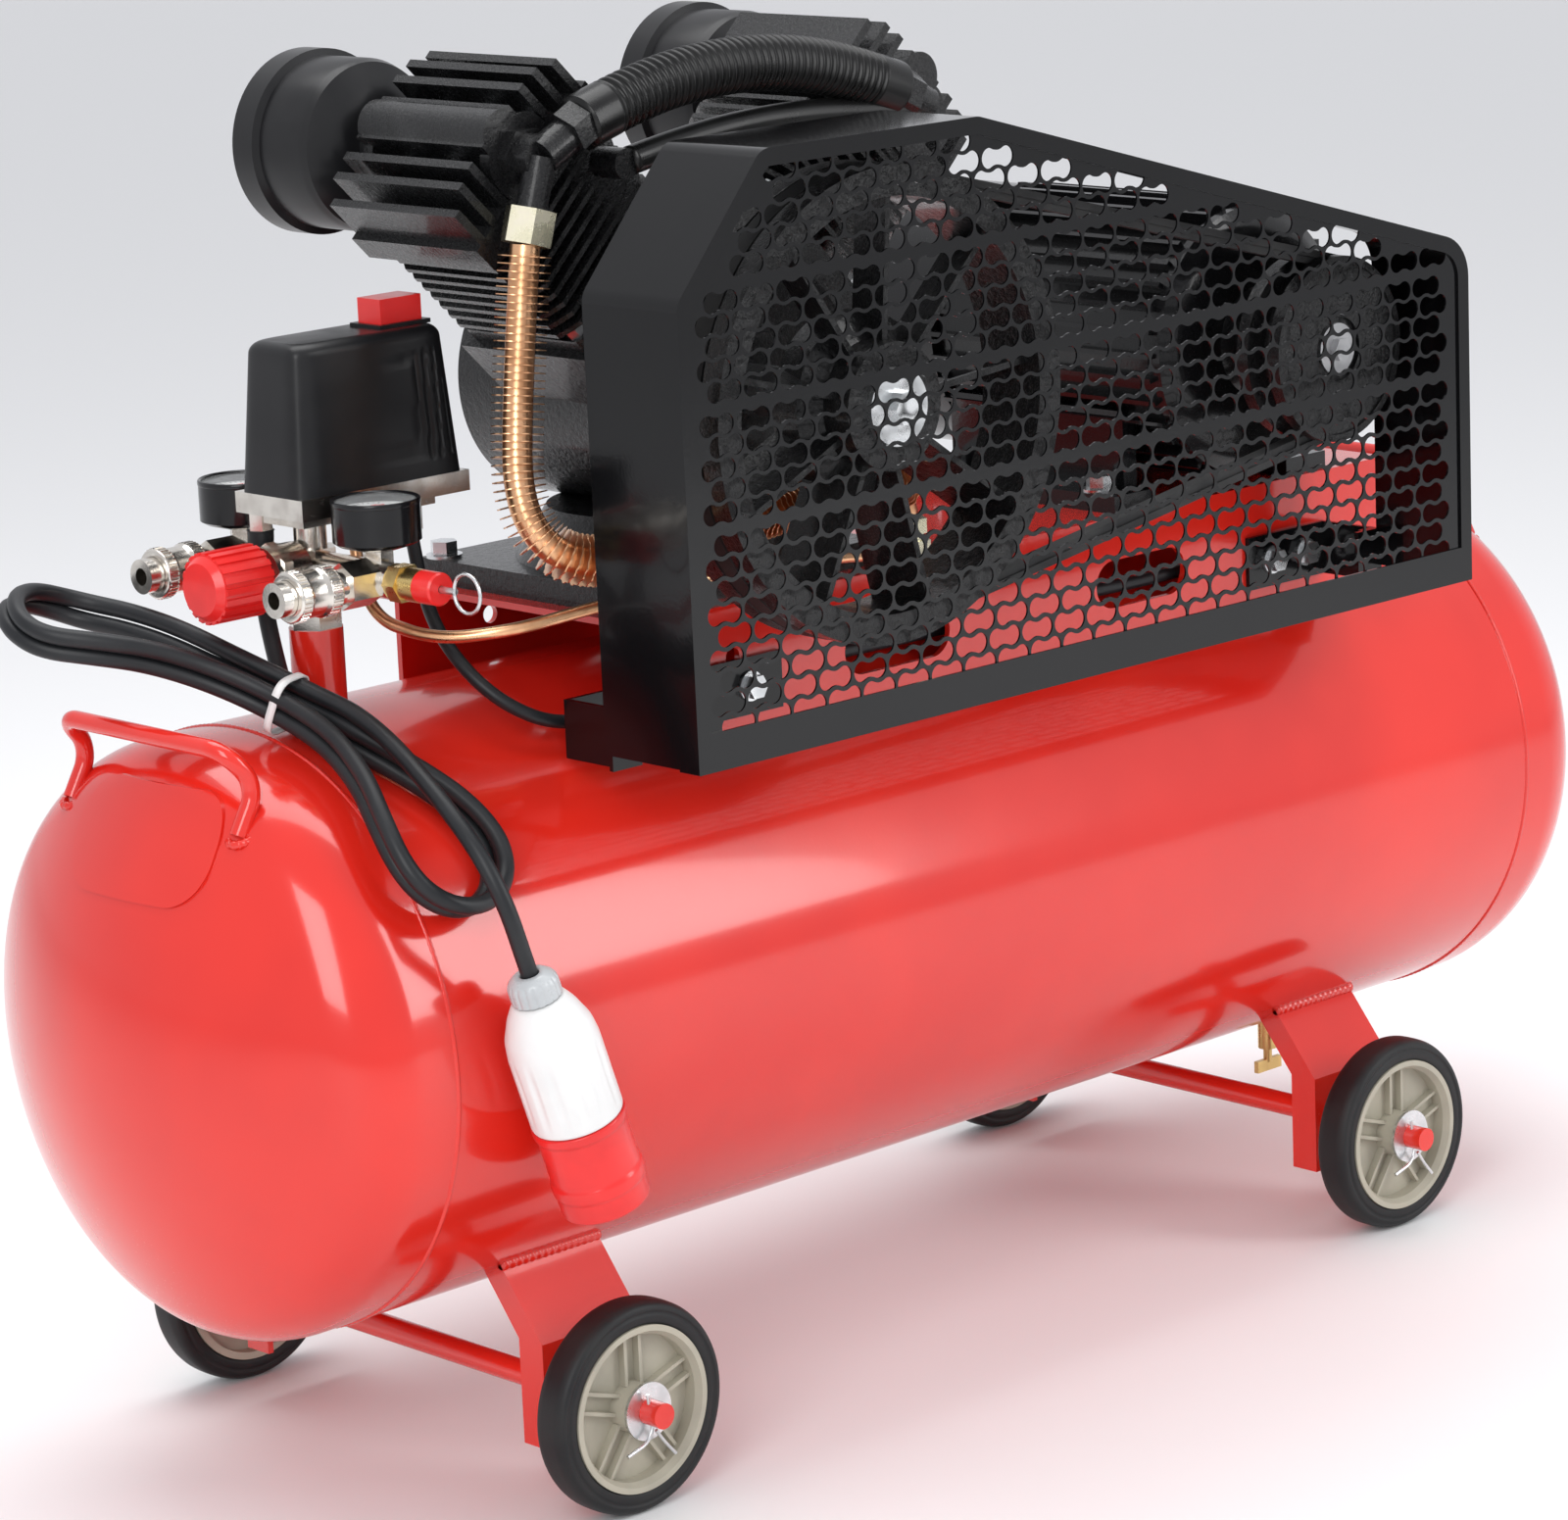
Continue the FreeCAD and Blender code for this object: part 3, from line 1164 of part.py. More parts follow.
MAINS_ROUTE = [(-421, 23, 557), (-421.5, 25, 520), (-426, 11, 487), (-438, -14, 465), (-449, -44, 456)]
TAIL_ROUTE = [(-447, -118, 436), (-449, -168, 424), (-448.7, -203, 388.3), (-432, -203, 338)]
MOTOR_ROUTE = [(-339, -10, 548), (-341, -18, 515), (-352, -50, 486), (-344, -84, 457), (-310, -100, 438),
               (-250, -97, 440), (-140, -96, 443), (-20, -95, 441), (95, -95, 443), (205, -96.5, 441),
               (290, -93, 445), (340, -70, 457), (365, -38, 480), (372, -16, 511), (372, -10, 541)]
PLUG_LEAN = Vector(50, 0, -150).normalize()
PLUG_TOP = Vector(-432, -203, 338)


def report_route(word, route, radius):
    """Print a cable's length and its tightest bend."""
    solid, length, tightest = swept(route, radius)
    print(f"{word}: {length:.0f} mm long, tightest bend {tightest:.0f} mm")
    return feature(word + "_tube", solid)


def power_cord():
    """The mains cable's two free stretches."""
    radius = size("cable_radius")
    return node("power_cord", group("mains_cable", report_route("mains_start", MAINS_ROUTE, radius),
                                    report_route("mains_tail", TAIL_ROUTE, radius)))


def cord_hank():
    """The outer shape of the folded cable that lies over the drum's shoulder."""
    around = float(tank_radius) + 17.5
    side_half, thick_half = 32.0, 14.0
    points = []
    for across, angle in ((-437, 64), (-441, 46), (-446, 28), (-456, 10)):
        lean = math.radians(angle)
        points.append((across, -around * math.sin(lean), float(tank_height) + around * math.cos(lean)))
    points += [(-486, 18, 494), (-508, 45, 503), (-530, 78, 509), (-549, 105, 530)]
    path, radii = smooth_path(points)
    first = path.Edges[0]
    start = first.valueAt(first.FirstParameter)
    ahead = first.tangentAt(first.FirstParameter)
    aside = ahead.cross(Z).normalize()
    upward = aside.cross(ahead)
    oval = Part.Ellipse(start + aside * side_half, start + upward * thick_half, start)
    solid = path.makePipeShell([Part.Wire([oval.toShape()])], True, False)
    expected = math.pi * side_half * thick_half * path.Length
    if abs(solid.Volume - expected) > 0.02 * expected:
        raise RuntimeError(f"the hank has volume {solid.Volume:.0f}, not {expected:.0f}")
    return node("cord_hank", feature("hank", solid))


def motor_cable():
    """The cable from the switch through the saddle to the motor."""
    return node("motor_cable", report_route("motor_lead", MOTOR_ROUTE, 4.0))


def plug_body():
    """The white half of the plug with its cable nut and pins."""
    lean = tuple(PLUG_LEAN)
    body = turned("plug_handle",
                  [(5.02, 0), (13, 0), (14, 3), (14, 18), (19, 22), (24, 34), (26, 52), (26, 92),
                                  (5.02, 92)], tuple(PLUG_TOP), lean)
    pins = []
    for index in range(3):
        angle = 120 * index + 30
        offset = along(lean).multVec(Vector(12 * math.cos(math.radians(angle)),
                                            12 * math.sin(math.radians(angle)), 90))
        pins.append(rod(f"plug_pin_{index}", 2.5, 38, tuple(PLUG_TOP + offset), lean))
    return node("plug_body", fuse("plug_solid", body, *pins))


def plug_shroud():
    """The red ring round the plug's pins."""
    outline = [(21.5, 92.1), (27, 92.1), (27, 98), (25.5, 100), (25.5, 148), (21.5, 148)]
    return node("plug_shroud", turned("shroud", outline, tuple(PLUG_TOP), tuple(PLUG_LEAN)))


def machine_bolts():
    """The hexagon bolts and washers of the pump, the motor and the guard's arms."""
    top = float(size("saddle_top"))
    places = [(x, y, top + 15, Z) for x in (-236, -54) for y in (-50, 86)]
    places += [(float(motor_place) + x, y, top + 11, Z) for x in (-88, 88) for y in (-80, 52)]
    bolts = []
    for index, (x, y, z, axis) in enumerate(places):
        washer = rod(f"washer_{index}", 11, 1.8, (x, y, z), axis)
        head = nut(f"head_{index}", 8.4, 8, (x, y, z + 1.8), axis)
        bolts.append(fuse(f"bolt_{index}", washer, head))
    front = -float(size("saddle_half")) - 3.0
    for index, x in enumerate((-236, -176, 284, 316)):
        washer = rod(f"arm_washer_{index}", 9, 1.6, (x, front, 440), FORWARD)
        head = nut(f"arm_head_{index}", 7.5, 6, (x, front - 1.6, 440), FORWARD)
        bolts.append(fuse(f"arm_bolt_{index}", washer, head))
    return node("machine_bolts", group("bolts", *bolts))


# ---- Build, check and write ----

def build():
    """Make every sub-part in order, from the tank upwards."""
    for make in (tank_shell, tank_ends, lifting_handles, data_plate, outlet_post, drain_valve, undercarriage,
                 axle_stubs, wheel_fasteners):
        make()
    for word, axle in AXLES:
        for side_word, side in SIDES:
            wheel(word, axle, side_word, side)
    for make in (saddle_plate, guard_shell, guard_mesh, guard_arms, flywheel, crankshaft, drive_belt,
                 motor_pulley,
                 motor_shaft, motor_housing, motor_covers, terminal_box, crankcase, cylinders,
                 cylinder_heads,
                 pump_bolts, intake_filters, outlet_elbows, crossover_hose, discharge_tube, tube_nuts,
                 unloader_tube, manifold, regulator_knob, gauge_cases, safety_valve, safety_ring,
                 switch_cover,
                 switch_base, switch_button, power_cord, cord_hank, motor_cable, plug_body, plug_shroud,
                 machine_bolts):
        make()
    for word, side in BANKS:
        piston(word, side)
    for word, side in OUTLETS:
        coupler_sleeve(word, side)
        gauge_needle(word, side)


def check():
    """Stop on any failed object or bad shape."""
    for piece in doc.Objects:
        if "Invalid" in piece.State or "Error" in piece.State:
            raise RuntimeError(f"{piece.Name} failed: {piece.State}")
    for piece in nodes:
        if piece.Shape.isNull() or not piece.Shape.isValid():
            raise RuntimeError(f"{piece.Label} has a bad shape")
        if not piece.Shape.Solids:
            raise RuntimeError(f"{piece.Label} has no solid")


build()
doc.recompute()
check()
os.makedirs("parts", exist_ok=True)
for piece in nodes:
    piece.Shape.exportStep(f"parts/{piece.Label}.step")
print(len(nodes), "nodes")
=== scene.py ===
# %% [markdown]
# # A belt-driven air compressor
# The machine is a steel drum on four wheels with a two-cylinder pump, a motor and a mesh guard on top.
# The engineering solids come in as a fixed frame: they say where everything is and how it moves.
# This notebook gives each surface its finish, and replaces the plain solids whose real form is finer.

# %% Load the frame
import math

import bmesh
import bpy
import numpy as np
from mathutils import Matrix, Vector


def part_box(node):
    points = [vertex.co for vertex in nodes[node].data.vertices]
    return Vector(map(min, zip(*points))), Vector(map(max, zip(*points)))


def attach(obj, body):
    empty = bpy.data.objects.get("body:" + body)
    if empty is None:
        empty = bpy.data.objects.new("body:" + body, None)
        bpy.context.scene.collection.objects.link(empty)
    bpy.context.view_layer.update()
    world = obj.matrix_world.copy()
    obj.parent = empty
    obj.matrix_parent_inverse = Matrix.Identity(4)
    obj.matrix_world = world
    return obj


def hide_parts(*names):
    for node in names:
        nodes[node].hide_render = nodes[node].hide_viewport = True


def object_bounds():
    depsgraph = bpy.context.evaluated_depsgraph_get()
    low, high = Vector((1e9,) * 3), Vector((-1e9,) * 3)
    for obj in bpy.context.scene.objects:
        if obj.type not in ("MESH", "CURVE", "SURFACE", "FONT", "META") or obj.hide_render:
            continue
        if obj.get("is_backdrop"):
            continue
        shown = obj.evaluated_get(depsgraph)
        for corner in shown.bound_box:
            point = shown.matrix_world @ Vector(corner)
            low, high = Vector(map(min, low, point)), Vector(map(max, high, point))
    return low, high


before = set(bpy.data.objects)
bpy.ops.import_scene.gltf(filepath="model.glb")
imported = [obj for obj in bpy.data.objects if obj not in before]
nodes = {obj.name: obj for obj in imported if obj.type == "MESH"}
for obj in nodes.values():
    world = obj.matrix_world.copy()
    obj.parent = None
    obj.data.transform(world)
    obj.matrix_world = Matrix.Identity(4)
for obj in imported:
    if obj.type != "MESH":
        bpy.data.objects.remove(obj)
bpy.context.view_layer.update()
MM = 0.001
TANK_LINE = 12 * MM


# %% [markdown]
# ## The camera
# A long lens from the front left and a little above keeps the drum's sides nearly parallel, as in a
# catalogue picture. The camera's three axes are worked out from a heading, a height and a small roll, so
# that each of the three can be read and changed on its own.

# %% Point the camera
HEADING, HEIGHT, ROLL = math.radians(43.18), math.radians(13.01), math.radians(-2.45)
STAND = Vector((-2.22188, -2.30727, 1.08994))
LENS_PER_WIDTH = 3.37248125

back = Vector((-math.sin(HEADING) * math.cos(HEIGHT), -math.cos(HEADING) * math.cos(HEIGHT),
               math.sin(HEIGHT)))
level = Vector((math.cos(HEADING), -math.sin(HEADING), 0))
right = level * math.cos(ROLL) + back.cross(level) * math.sin(ROLL)
camera_data = bpy.data.cameras.new("camera")
camera_data.sensor_width = 36
camera_data.lens = LENS_PER_WIDTH * camera_data.sensor_width
camera_data.clip_start = 0.05
camera = bpy.data.objects.new("camera", camera_data)
bpy.context.scene.collection.objects.link(camera)
axes = Matrix((right, back.cross(right), back)).transposed()
camera.matrix_world = Matrix.Translation(STAND) @ axes.to_4x4()
bpy.context.scene.camera = camera
print("lens", round(camera_data.lens, 1), "mm")


# %% [markdown]
# ## Surfaces from formulas
# Most new pieces are a grid of points: two parameters run along its rows and columns, and the formula
# gives a place for every pair at once. One helper turns such a grid into a mesh. Where rows meet at a
# pole or a seam the doubled points are merged, and the faces are turned to look outwards.

# %% From a grid to a mesh
def surface(name, points, wrap_rows=False, wrap_columns=False):
    """A smooth mesh whose quad (i, j) joins the grid's points (i, j), (i+1, j), (i+1, j+1) and (i, j+1)."""
    rows, columns = points.shape[:2]
    index = np.arange(rows * columns).reshape(rows, columns)
    if wrap_rows:
        index = np.vstack([index, index[:1]])
    if wrap_columns:
        index = np.hstack([index, index[:, :1]])
    quads = np.stack([index[:-1, :-1], index[1:, :-1], index[1:, 1:], index[:-1, 1:]], axis=-1)
    mesh = bpy.data.meshes.new(name)
    mesh.from_pydata(points.reshape(-1, 3).tolist(), [], quads.reshape(-1, 4).tolist())
    return finished(name, mesh)


def finished(name, mesh, merge=1e-6):
    """Merge doubled points, turn the faces outwards, shade smooth and link the object."""
    work = bmesh.new()
    work.from_mesh(mesh)
    bmesh.ops.remove_doubles(work, verts=work.verts, dist=merge)
    bmesh.ops.dissolve_degenerate(work, edges=work.edges, dist=merge)
    bmesh.ops.recalc_face_normals(work, faces=work.faces)
    work.to_mesh(mesh)
    work.free()
    mesh.polygons.foreach_set("use_smooth", np.ones(len(mesh.polygons), bool))
    piece = bpy.data.objects.new(name, mesh)
    bpy.context.scene.collection.objects.link(piece)
    return piece


def crisp(piece, angle=35):
    """Keep the edges sharper than an angle sharp, without changing the mesh itself."""
    split = piece.modifiers.new("sharp_edges", "EDGE_SPLIT")
    split.split_angle = math.radians(angle)
    return piece


# %% [markdown]
# A turned piece is a profile of (radius, height) corners carried round an axis. Real edges are never
# knife-sharp, so each corner becomes a short parabola: the point at t is the blend
# (1-t)^2 start + 2t(1-t) corner + t^2 end, which catches the light as a worn edge does.

# %% Rounded profiles and turned pieces
def soften(corners, reach, steps=4):
    """Replace every corner of a closed profile by a parabola that begins and ends a reach away."""
    here = np.asarray(corners, float)
    before, after = np.roll(here, 1, axis=0), np.roll(here, -1, axis=0)
    length_in = np.linalg.norm(before - here, axis=1, keepdims=True)
    length_out = np.linalg.norm(after - here, axis=1, keepdims=True)
    start = here + (before - here) / length_in * np.minimum(reach, 0.45 * length_in)
    end = here + (after - here) / length_out * np.minimum(reach, 0.45 * length_out)
    t = np.linspace(0, 1, steps + 1)[None, :, None]
    curve = (1 - t) ** 2 * start[:, None] + 2 * t * (1 - t) * here[:, None] + t ** 2 * end[:, None]
    return curve.reshape(-1, 2)


def square_to(axis):
    """Two unit directions that stand square to an axis and to each other."""
    axis = np.asarray(axis, float) / np.linalg.norm(axis)
    helper = np.array([0.0, 0.0, 1.0]) if abs(axis[2]) < 0.9 else np.array([1.0, 0.0, 0.0])
    first = np.cross(helper, axis)
    first /= np.linalg.norm(first)
    return axis, first, np.cross(axis, first)


def lathe(name, profile, centre, axis, segments=96, ripple=None):
    """Carry a closed (radius, height) profile round an axis: centre + height axis + radius (cos, sin)."""
    profile = np.asarray(profile, float)
    axis, first, second = square_to(axis)
    angle = np.linspace(0, 2 * np.pi, segments, endpoint=False)[None, :]
    radius, height = profile[:, :1], profile[:, 1:]
    if ripple is not None:
        radius = radius + ripple(radius, height, angle)
    around = np.cos(angle)[..., None] * first + np.sin(angle)[..., None] * second
    points = np.asarray(centre, float) + height[..., None] * axis + radius[..., None] * around
    return surface(name, points, wrap_rows=True, wrap_columns=True)


# %% [markdown]
# Pipes and cables follow a smooth line through a few given points. A NURBS spline of order 3 gives
# that line. A pipe with fins or ribs reads the line's points back, and carries a ring along them whose
# radius changes with the distance travelled.

# %% Lines and rings along them
def route_curve(name, points, thickness=0.0, resolution=12):
    """A NURBS curve of order 3 with the points as its controls, and a round section."""
    data = bpy.data.curves.new(name, "CURVE")
    data.dimensions = "3D"
    data.resolution_u = resolution
    data.bevel_depth = thickness
    data.bevel_resolution = 6
    data.use_fill_caps = thickness > 0
    spline = data.splines.new("NURBS")
    spline.points.add(len(points) - 1)
    flat = np.hstack([np.asarray(points, float), np.ones((len(points), 1))])
    spline.points.foreach_set("co", flat.ravel())
    spline.order_u = 3
    spline.use_endpoint_u = True
    piece = bpy.data.objects.new(name, data)
    bpy.context.scene.collection.objects.link(piece)
    return piece


def line_points(points, spacing):
    """Evenly spaced points on a route's spline, with their tangents and distances."""
    guide = route_curve("guide", points, resolution=24)
    mesh = bpy.data.meshes.new_from_object(guide)
    raw = np.zeros(len(mesh.vertices) * 3)
    mesh.vertices.foreach_get("co", raw)
    bpy.data.objects.remove(guide)
    bpy.data.meshes.remove(mesh)
    raw = raw.reshape(-1, 3)
    travelled = np.concatenate([[0], np.cumsum(np.linalg.norm(np.diff(raw, axis=0), axis=1))])
    count = max(2, int(round(travelled[-1] / spacing)))
    distance = np.linspace(0, travelled[-1], count + 1)
    place = np.stack([np.interp(distance, travelled, raw[:, k]) for k in range(3)], axis=1)
    tangent = np.gradient(place, axis=0)
    tangent /= np.linalg.norm(tangent, axis=1, keepdims=True)
    return place, tangent, distance


def pipe(name, place, tangent, radius, segments=32, reference=(0, 1, 0), ripple=None):
    """Carry a ring along a line: place + radius (cos side + sin up), closed by a point at each end."""
    side = np.cross(tangent, np.asarray(reference, float))
    side /= np.linalg.norm(side, axis=1, keepdims=True)
    up = np.cross(side, tangent)
    angle = np.linspace(0, 2 * np.pi, segments, endpoint=False)
    wide = np.broadcast_to(np.asarray(radius, float).reshape(-1, 1), (len(place), segments))
    if ripple is not None:
        wide = wide + ripple(wide, angle[None, :])
    ring = np.cos(angle)[None, :, None] * side[:, None] + np.sin(angle)[None, :, None] * up[:, None]
    points = place[:, None] + wide[..., None] * ring
    ends = [np.repeat(place[k][None, None], segments, axis=1) for k in (0, -1)]
    return surface(name, np.concatenate([ends[0], points, ends[1]]), wrap_columns=True)


# %% [markdown]
# ## Shader maths as Python
# A finish is a small formula over the surface. Wrapping a node's output in a class lets the formula be
# written with ordinary operators: each one adds the Math node that does it.

# %% Wires and recipes
class Wire:
    """One number that flows through a material; operators on it add Math nodes."""

    def __init__(self, recipe, socket):
        self.recipe = recipe
        self.socket = socket

    def maths(self, operation, *others):
        values = [self, *others]
        return self.recipe.node("ShaderNodeMath", {"operation": operation}, dict(enumerate(values)))

    def __add__(self, other):
        return self.maths("ADD", other)

    def __mul__(self, other):
        return self.maths("MULTIPLY", other)

    def __sub__(self, other):
        return self.maths("SUBTRACT", other)

    __radd__ = __add__
    __rmul__ = __mul__

    def between(self, low, high):
        """0 below low, 1 above high and a smooth step between."""
        settings = {"interpolation_type": "SMOOTHSTEP"}
        return self.recipe.node("ShaderNodeMapRange", settings,
                                {"Value": self, "From Min": low, "From Max": high})


class Recipe:
    """A material made of one shader and the nodes that feed it."""

    def __init__(self, name):
        self.material = bpy.data.materials.new(name)
        self.material.use_nodes = True
        self.tree = self.material.node_tree
        self.shader = self.tree.nodes["Principled BSDF"]
        self.place = self.node("ShaderNodeTexCoord", {}, {}, "Object")

    def node(self, kind, settings, inputs, output=0):
        """Add a node, first its settings, then its inputs as values or links, and wrap one output."""
        made = self.tree.nodes.new(kind)
        for word, value in settings.items():
            if word == "stops":
                self.set_stops(made, value)
            else:
                setattr(made, word, value)
        for word, value in inputs.items():
            self.feed(made.inputs[word], value)
        return Wire(self, made.outputs[output])

    def set_stops(self, ramp_node, stops):
        """Give a colour ramp its stops, each a place and a colour."""
        elements = ramp_node.color_ramp.elements
        while len(elements) < len(stops):
            elements.new(0.5)
        for element, (place, colour) in zip(elements, stops):
            element.position = place
            element.color = (*colour, 1)

    def feed(self, socket, value):
        """Link a wire or set a plain value."""
        if isinstance(value, Wire):
            self.tree.links.new(value.socket, socket)
        elif hasattr(value, "__len__") and len(value) == 3 and len(socket.default_value) == 4:
            socket.default_value = (*value, 1)
        else:
            socket.default_value = value

    def noise(self, scale, detail=2.0, roughness=0.5, stretch=None):
        """Cloudy noise from 0 to 1; stretch multiplies the three directions."""
        place = self.place
        if stretch is not None:
            place = self.node("ShaderNodeMapping", {}, {"Vector": place, "Scale": stretch})
        inputs = {"Vector": place, "Scale": scale, "Detail": detail, "Roughness": roughness}
        return self.node("ShaderNodeTexNoise", {}, inputs)

    def blend(self, mask, low, high):
        """A colour that goes from low to high with the mask."""
        settings = {"data_type": "RGBA"}
        return self.node("ShaderNodeMix", settings, {0: mask, 6: low, 7: high}, 2)

    def relief(self, height, depth, under=None):
        """Turn a height into a slope of the surface, in metres of depth."""
        inputs = {"Height": height, "Distance": depth, "Strength": 1.0}
        if under is not None:
            inputs["Normal"] = under
        return self.node("ShaderNodeBump", {}, inputs)

    def give(self, **sockets):
        """Feed the shader's sockets, named with underscores, and hand back the material."""
        for word, value in sockets.items():
            self.feed(self.shader.inputs[word.replace("_", " ")], value)
        return self.material


# %% [markdown]
# ## The finishes
# The drum is sprayed red and very glossy: a hard clear layer over the colour, with the faint waviness
# that spraying leaves. The pump's castings wear thick black paint over rough sand-cast iron, so their
# relief is deep and their gloss broken. Plated parts differ mostly in tint and roughness.

# %% Sprayed and cast finishes
def gloss_paint(name, colour, deep, roughness=0.16, wave=0.00006, coat=0.4, bend=1.5):
    """Sprayed gloss: slight colour drift, orange peel in the relief and a clear coat."""
    mix = Recipe(name)
    cloud = mix.noise(5.0, 3.0)
    peel = mix.noise(420.0, 2.0)
    slow = mix.noise(38.0, 1.0)
    dust = mix.noise(900.0, 1.0).between(0.66, 0.74)
    tint = mix.blend(cloud.between(0.3, 0.7), deep, colour)
    height = peel * 0.35 + slow
    return mix.give(Base_Color=tint, Roughness=cloud * 0.08 + dust * 0.1 + (roughness - 0.04), IOR=bend,
                    Coat_Weight=coat, Coat_Roughness=0.05, Normal=mix.relief(height, wave))


def cast_paint(name, grain, depth, gloss):
    """Black paint over a sand casting: lumps and smaller pits in the relief, and a patchy wear tint."""
    mix = Recipe(name)
    lumps = mix.noise(grain, 4.0, 0.62)
    pits = mix.noise(grain * 3.1, 2.0).between(0.55, 0.72)
    worn = mix.noise(23.0, 4.0).between(0.62, 0.8)
    tint = mix.blend(worn, (0.005, 0.005, 0.0055), (0.016, 0.016, 0.017))
    height = lumps - pits * 0.35
    return mix.give(Base_Color=tint, Roughness=lumps * 0.2 + gloss, IOR=1.36, Coat_Weight=0.3,
                    Coat_Roughness=0.1, Normal=mix.relief(height, depth))


RED = gloss_paint("red_gloss", (0.73, 0.022, 0.011), (0.62, 0.015, 0.009))
BLACK = gloss_paint("black_gloss", (0.004, 0.004, 0.0045), (0.003, 0.003, 0.0035), 0.13, 0.0001, 0.12, 1.34)
MOTOR_BLACK = gloss_paint("motor_black", (0.007, 0.007, 0.008), (0.005, 0.005, 0.005), 0.2, 0.0002, 0.2,
                          1.36)
CAST = cast_paint("cast_black", 260.0, 0.0011, 0.2)
FINE_CAST = cast_paint("cast_black_fine", 420.0, 0.0006, 0.18)


# %% Metals
def plated(name, bright, dull, roughness, metallic=1.0, streak=None):
    """Plated or turned metal: a patchy tint, small scratches and a changing roughness."""
    mix = Recipe(name)
    patch = mix.noise(60.0, 3.0).between(0.35, 0.7)
    scratch = mix.noise(700.0, 2.0, 0.5, streak or (1, 1, 1))
    tint = mix.blend(patch, bright, dull)
    return mix.give(Base_Color=tint, Metallic=metallic, Roughness=patch * 0.1 + scratch * 0.08 + roughness,
                    Normal=mix.relief(scratch, 0.00002))


ZINC = plated("zinc_plate", (0.76, 0.77, 0.78), (0.6, 0.62, 0.63), 0.2)
YELLOW_ZINC = plated("yellow_zinc", (0.72, 0.68, 0.5), (0.6, 0.56, 0.46), 0.2)
NICKEL = plated("nickel_plate", (0.78, 0.74, 0.68), (0.62, 0.58, 0.53), 0.13)
BRASS = plated("brass", (0.75, 0.55, 0.22), (0.6, 0.42, 0.17), 0.22)
COPPER = plated("copper", (0.86, 0.5, 0.28), (0.62, 0.33, 0.17), 0.24)
STEEL = plated("ground_steel", (0.55, 0.55, 0.56), (0.42, 0.42, 0.43), 0.28)
ALLOY = plated("turned_alloy", (0.7, 0.7, 0.71), (0.6, 0.6, 0.6), 0.3)


# %% Rubber and plastics
def moulded(name, colour, shade, roughness, grain=900.0, depth=0.00003, coat=0.0, bend=1.45):
    """Moulded plastic or rubber: an even colour with faint clouds and a fine leather grain."""
    mix = Recipe(name)
    cloud = mix.noise(30.0, 3.0).between(0.35, 0.75)
    fine = mix.noise(grain, 2.0)
    tint = mix.blend(cloud, colour, shade)
    return mix.give(Base_Color=tint, Roughness=cloud * 0.08 + fine * 0.06 + roughness, IOR=bend,
                    Coat_Weight=coat, Coat_Roughness=0.1, Normal=mix.relief(fine, depth))


TYRE = moulded("tyre_rubber", (0.009, 0.009, 0.01), (0.017, 0.017, 0.017), 0.46, 700.0, 0.00006, 0.0, 1.38)
BELT = moulded("belt_rubber", (0.02, 0.02, 0.021), (0.045, 0.045, 0.045), 0.62, 1500.0, 0.00008)
HOSE = moulded("hose_plastic", (0.006, 0.006, 0.006), (0.01, 0.01, 0.01), 0.24, 900.0, 0.00003, 0.0, 1.38)
CABLE = moulded("cable_sheath", (0.011, 0.012, 0.014), (0.018, 0.019, 0.021), 0.38, 1200.0, 0.00002, 0.0,
                1.4)
HUB = moulded("hub_nylon", (0.42, 0.39, 0.31), (0.36, 0.335, 0.27), 0.42, 500.0, 0.00004)
SATIN = moulded("black_plastic", (0.008, 0.008, 0.009), (0.012, 0.012, 0.013), 0.27, 1600.0, 0.00003, 0.0,
                1.38)
GLOSSY = moulded("black_gloss_plastic", (0.006, 0.006, 0.007), (0.009, 0.009, 0.01), 0.12, 300.0, 0.00001,
                 0.15, 1.38)
RED_PLASTIC = moulded("red_plastic", (0.78, 0.02, 0.018), (0.66, 0.015, 0.014), 0.26, 400.0, 0.00002, 0.3)
WHITE = moulded("white_plastic", (0.78, 0.78, 0.77), (0.72, 0.72, 0.71), 0.3, 800.0, 0.00002, 0.1)
MILKY = moulded("milky_plastic", (0.5, 0.52, 0.53), (0.42, 0.44, 0.45), 0.22, 800.0, 0.00002, 0.3)
DIAL = moulded("dial_card", (0.85, 0.85, 0.83), (0.8, 0.8, 0.78), 0.5)
INK = moulded("dial_ink", (0.01, 0.01, 0.01), (0.02, 0.02, 0.02), 0.5)
print(len(bpy.data.materials), "finishes")


# %% [markdown]
# ## Dressing the solids
# A solid whose form is right stays as it is and only gets its finish. Its facets are welded and shaded
# smooth, except across real edges, by two modifiers that leave the mesh untouched.

# %% Dress every solid
def dress(piece, material):
    """Give a piece one finish."""
    piece.data.materials.clear()
    piece.data.materials.append(material)
    return piece


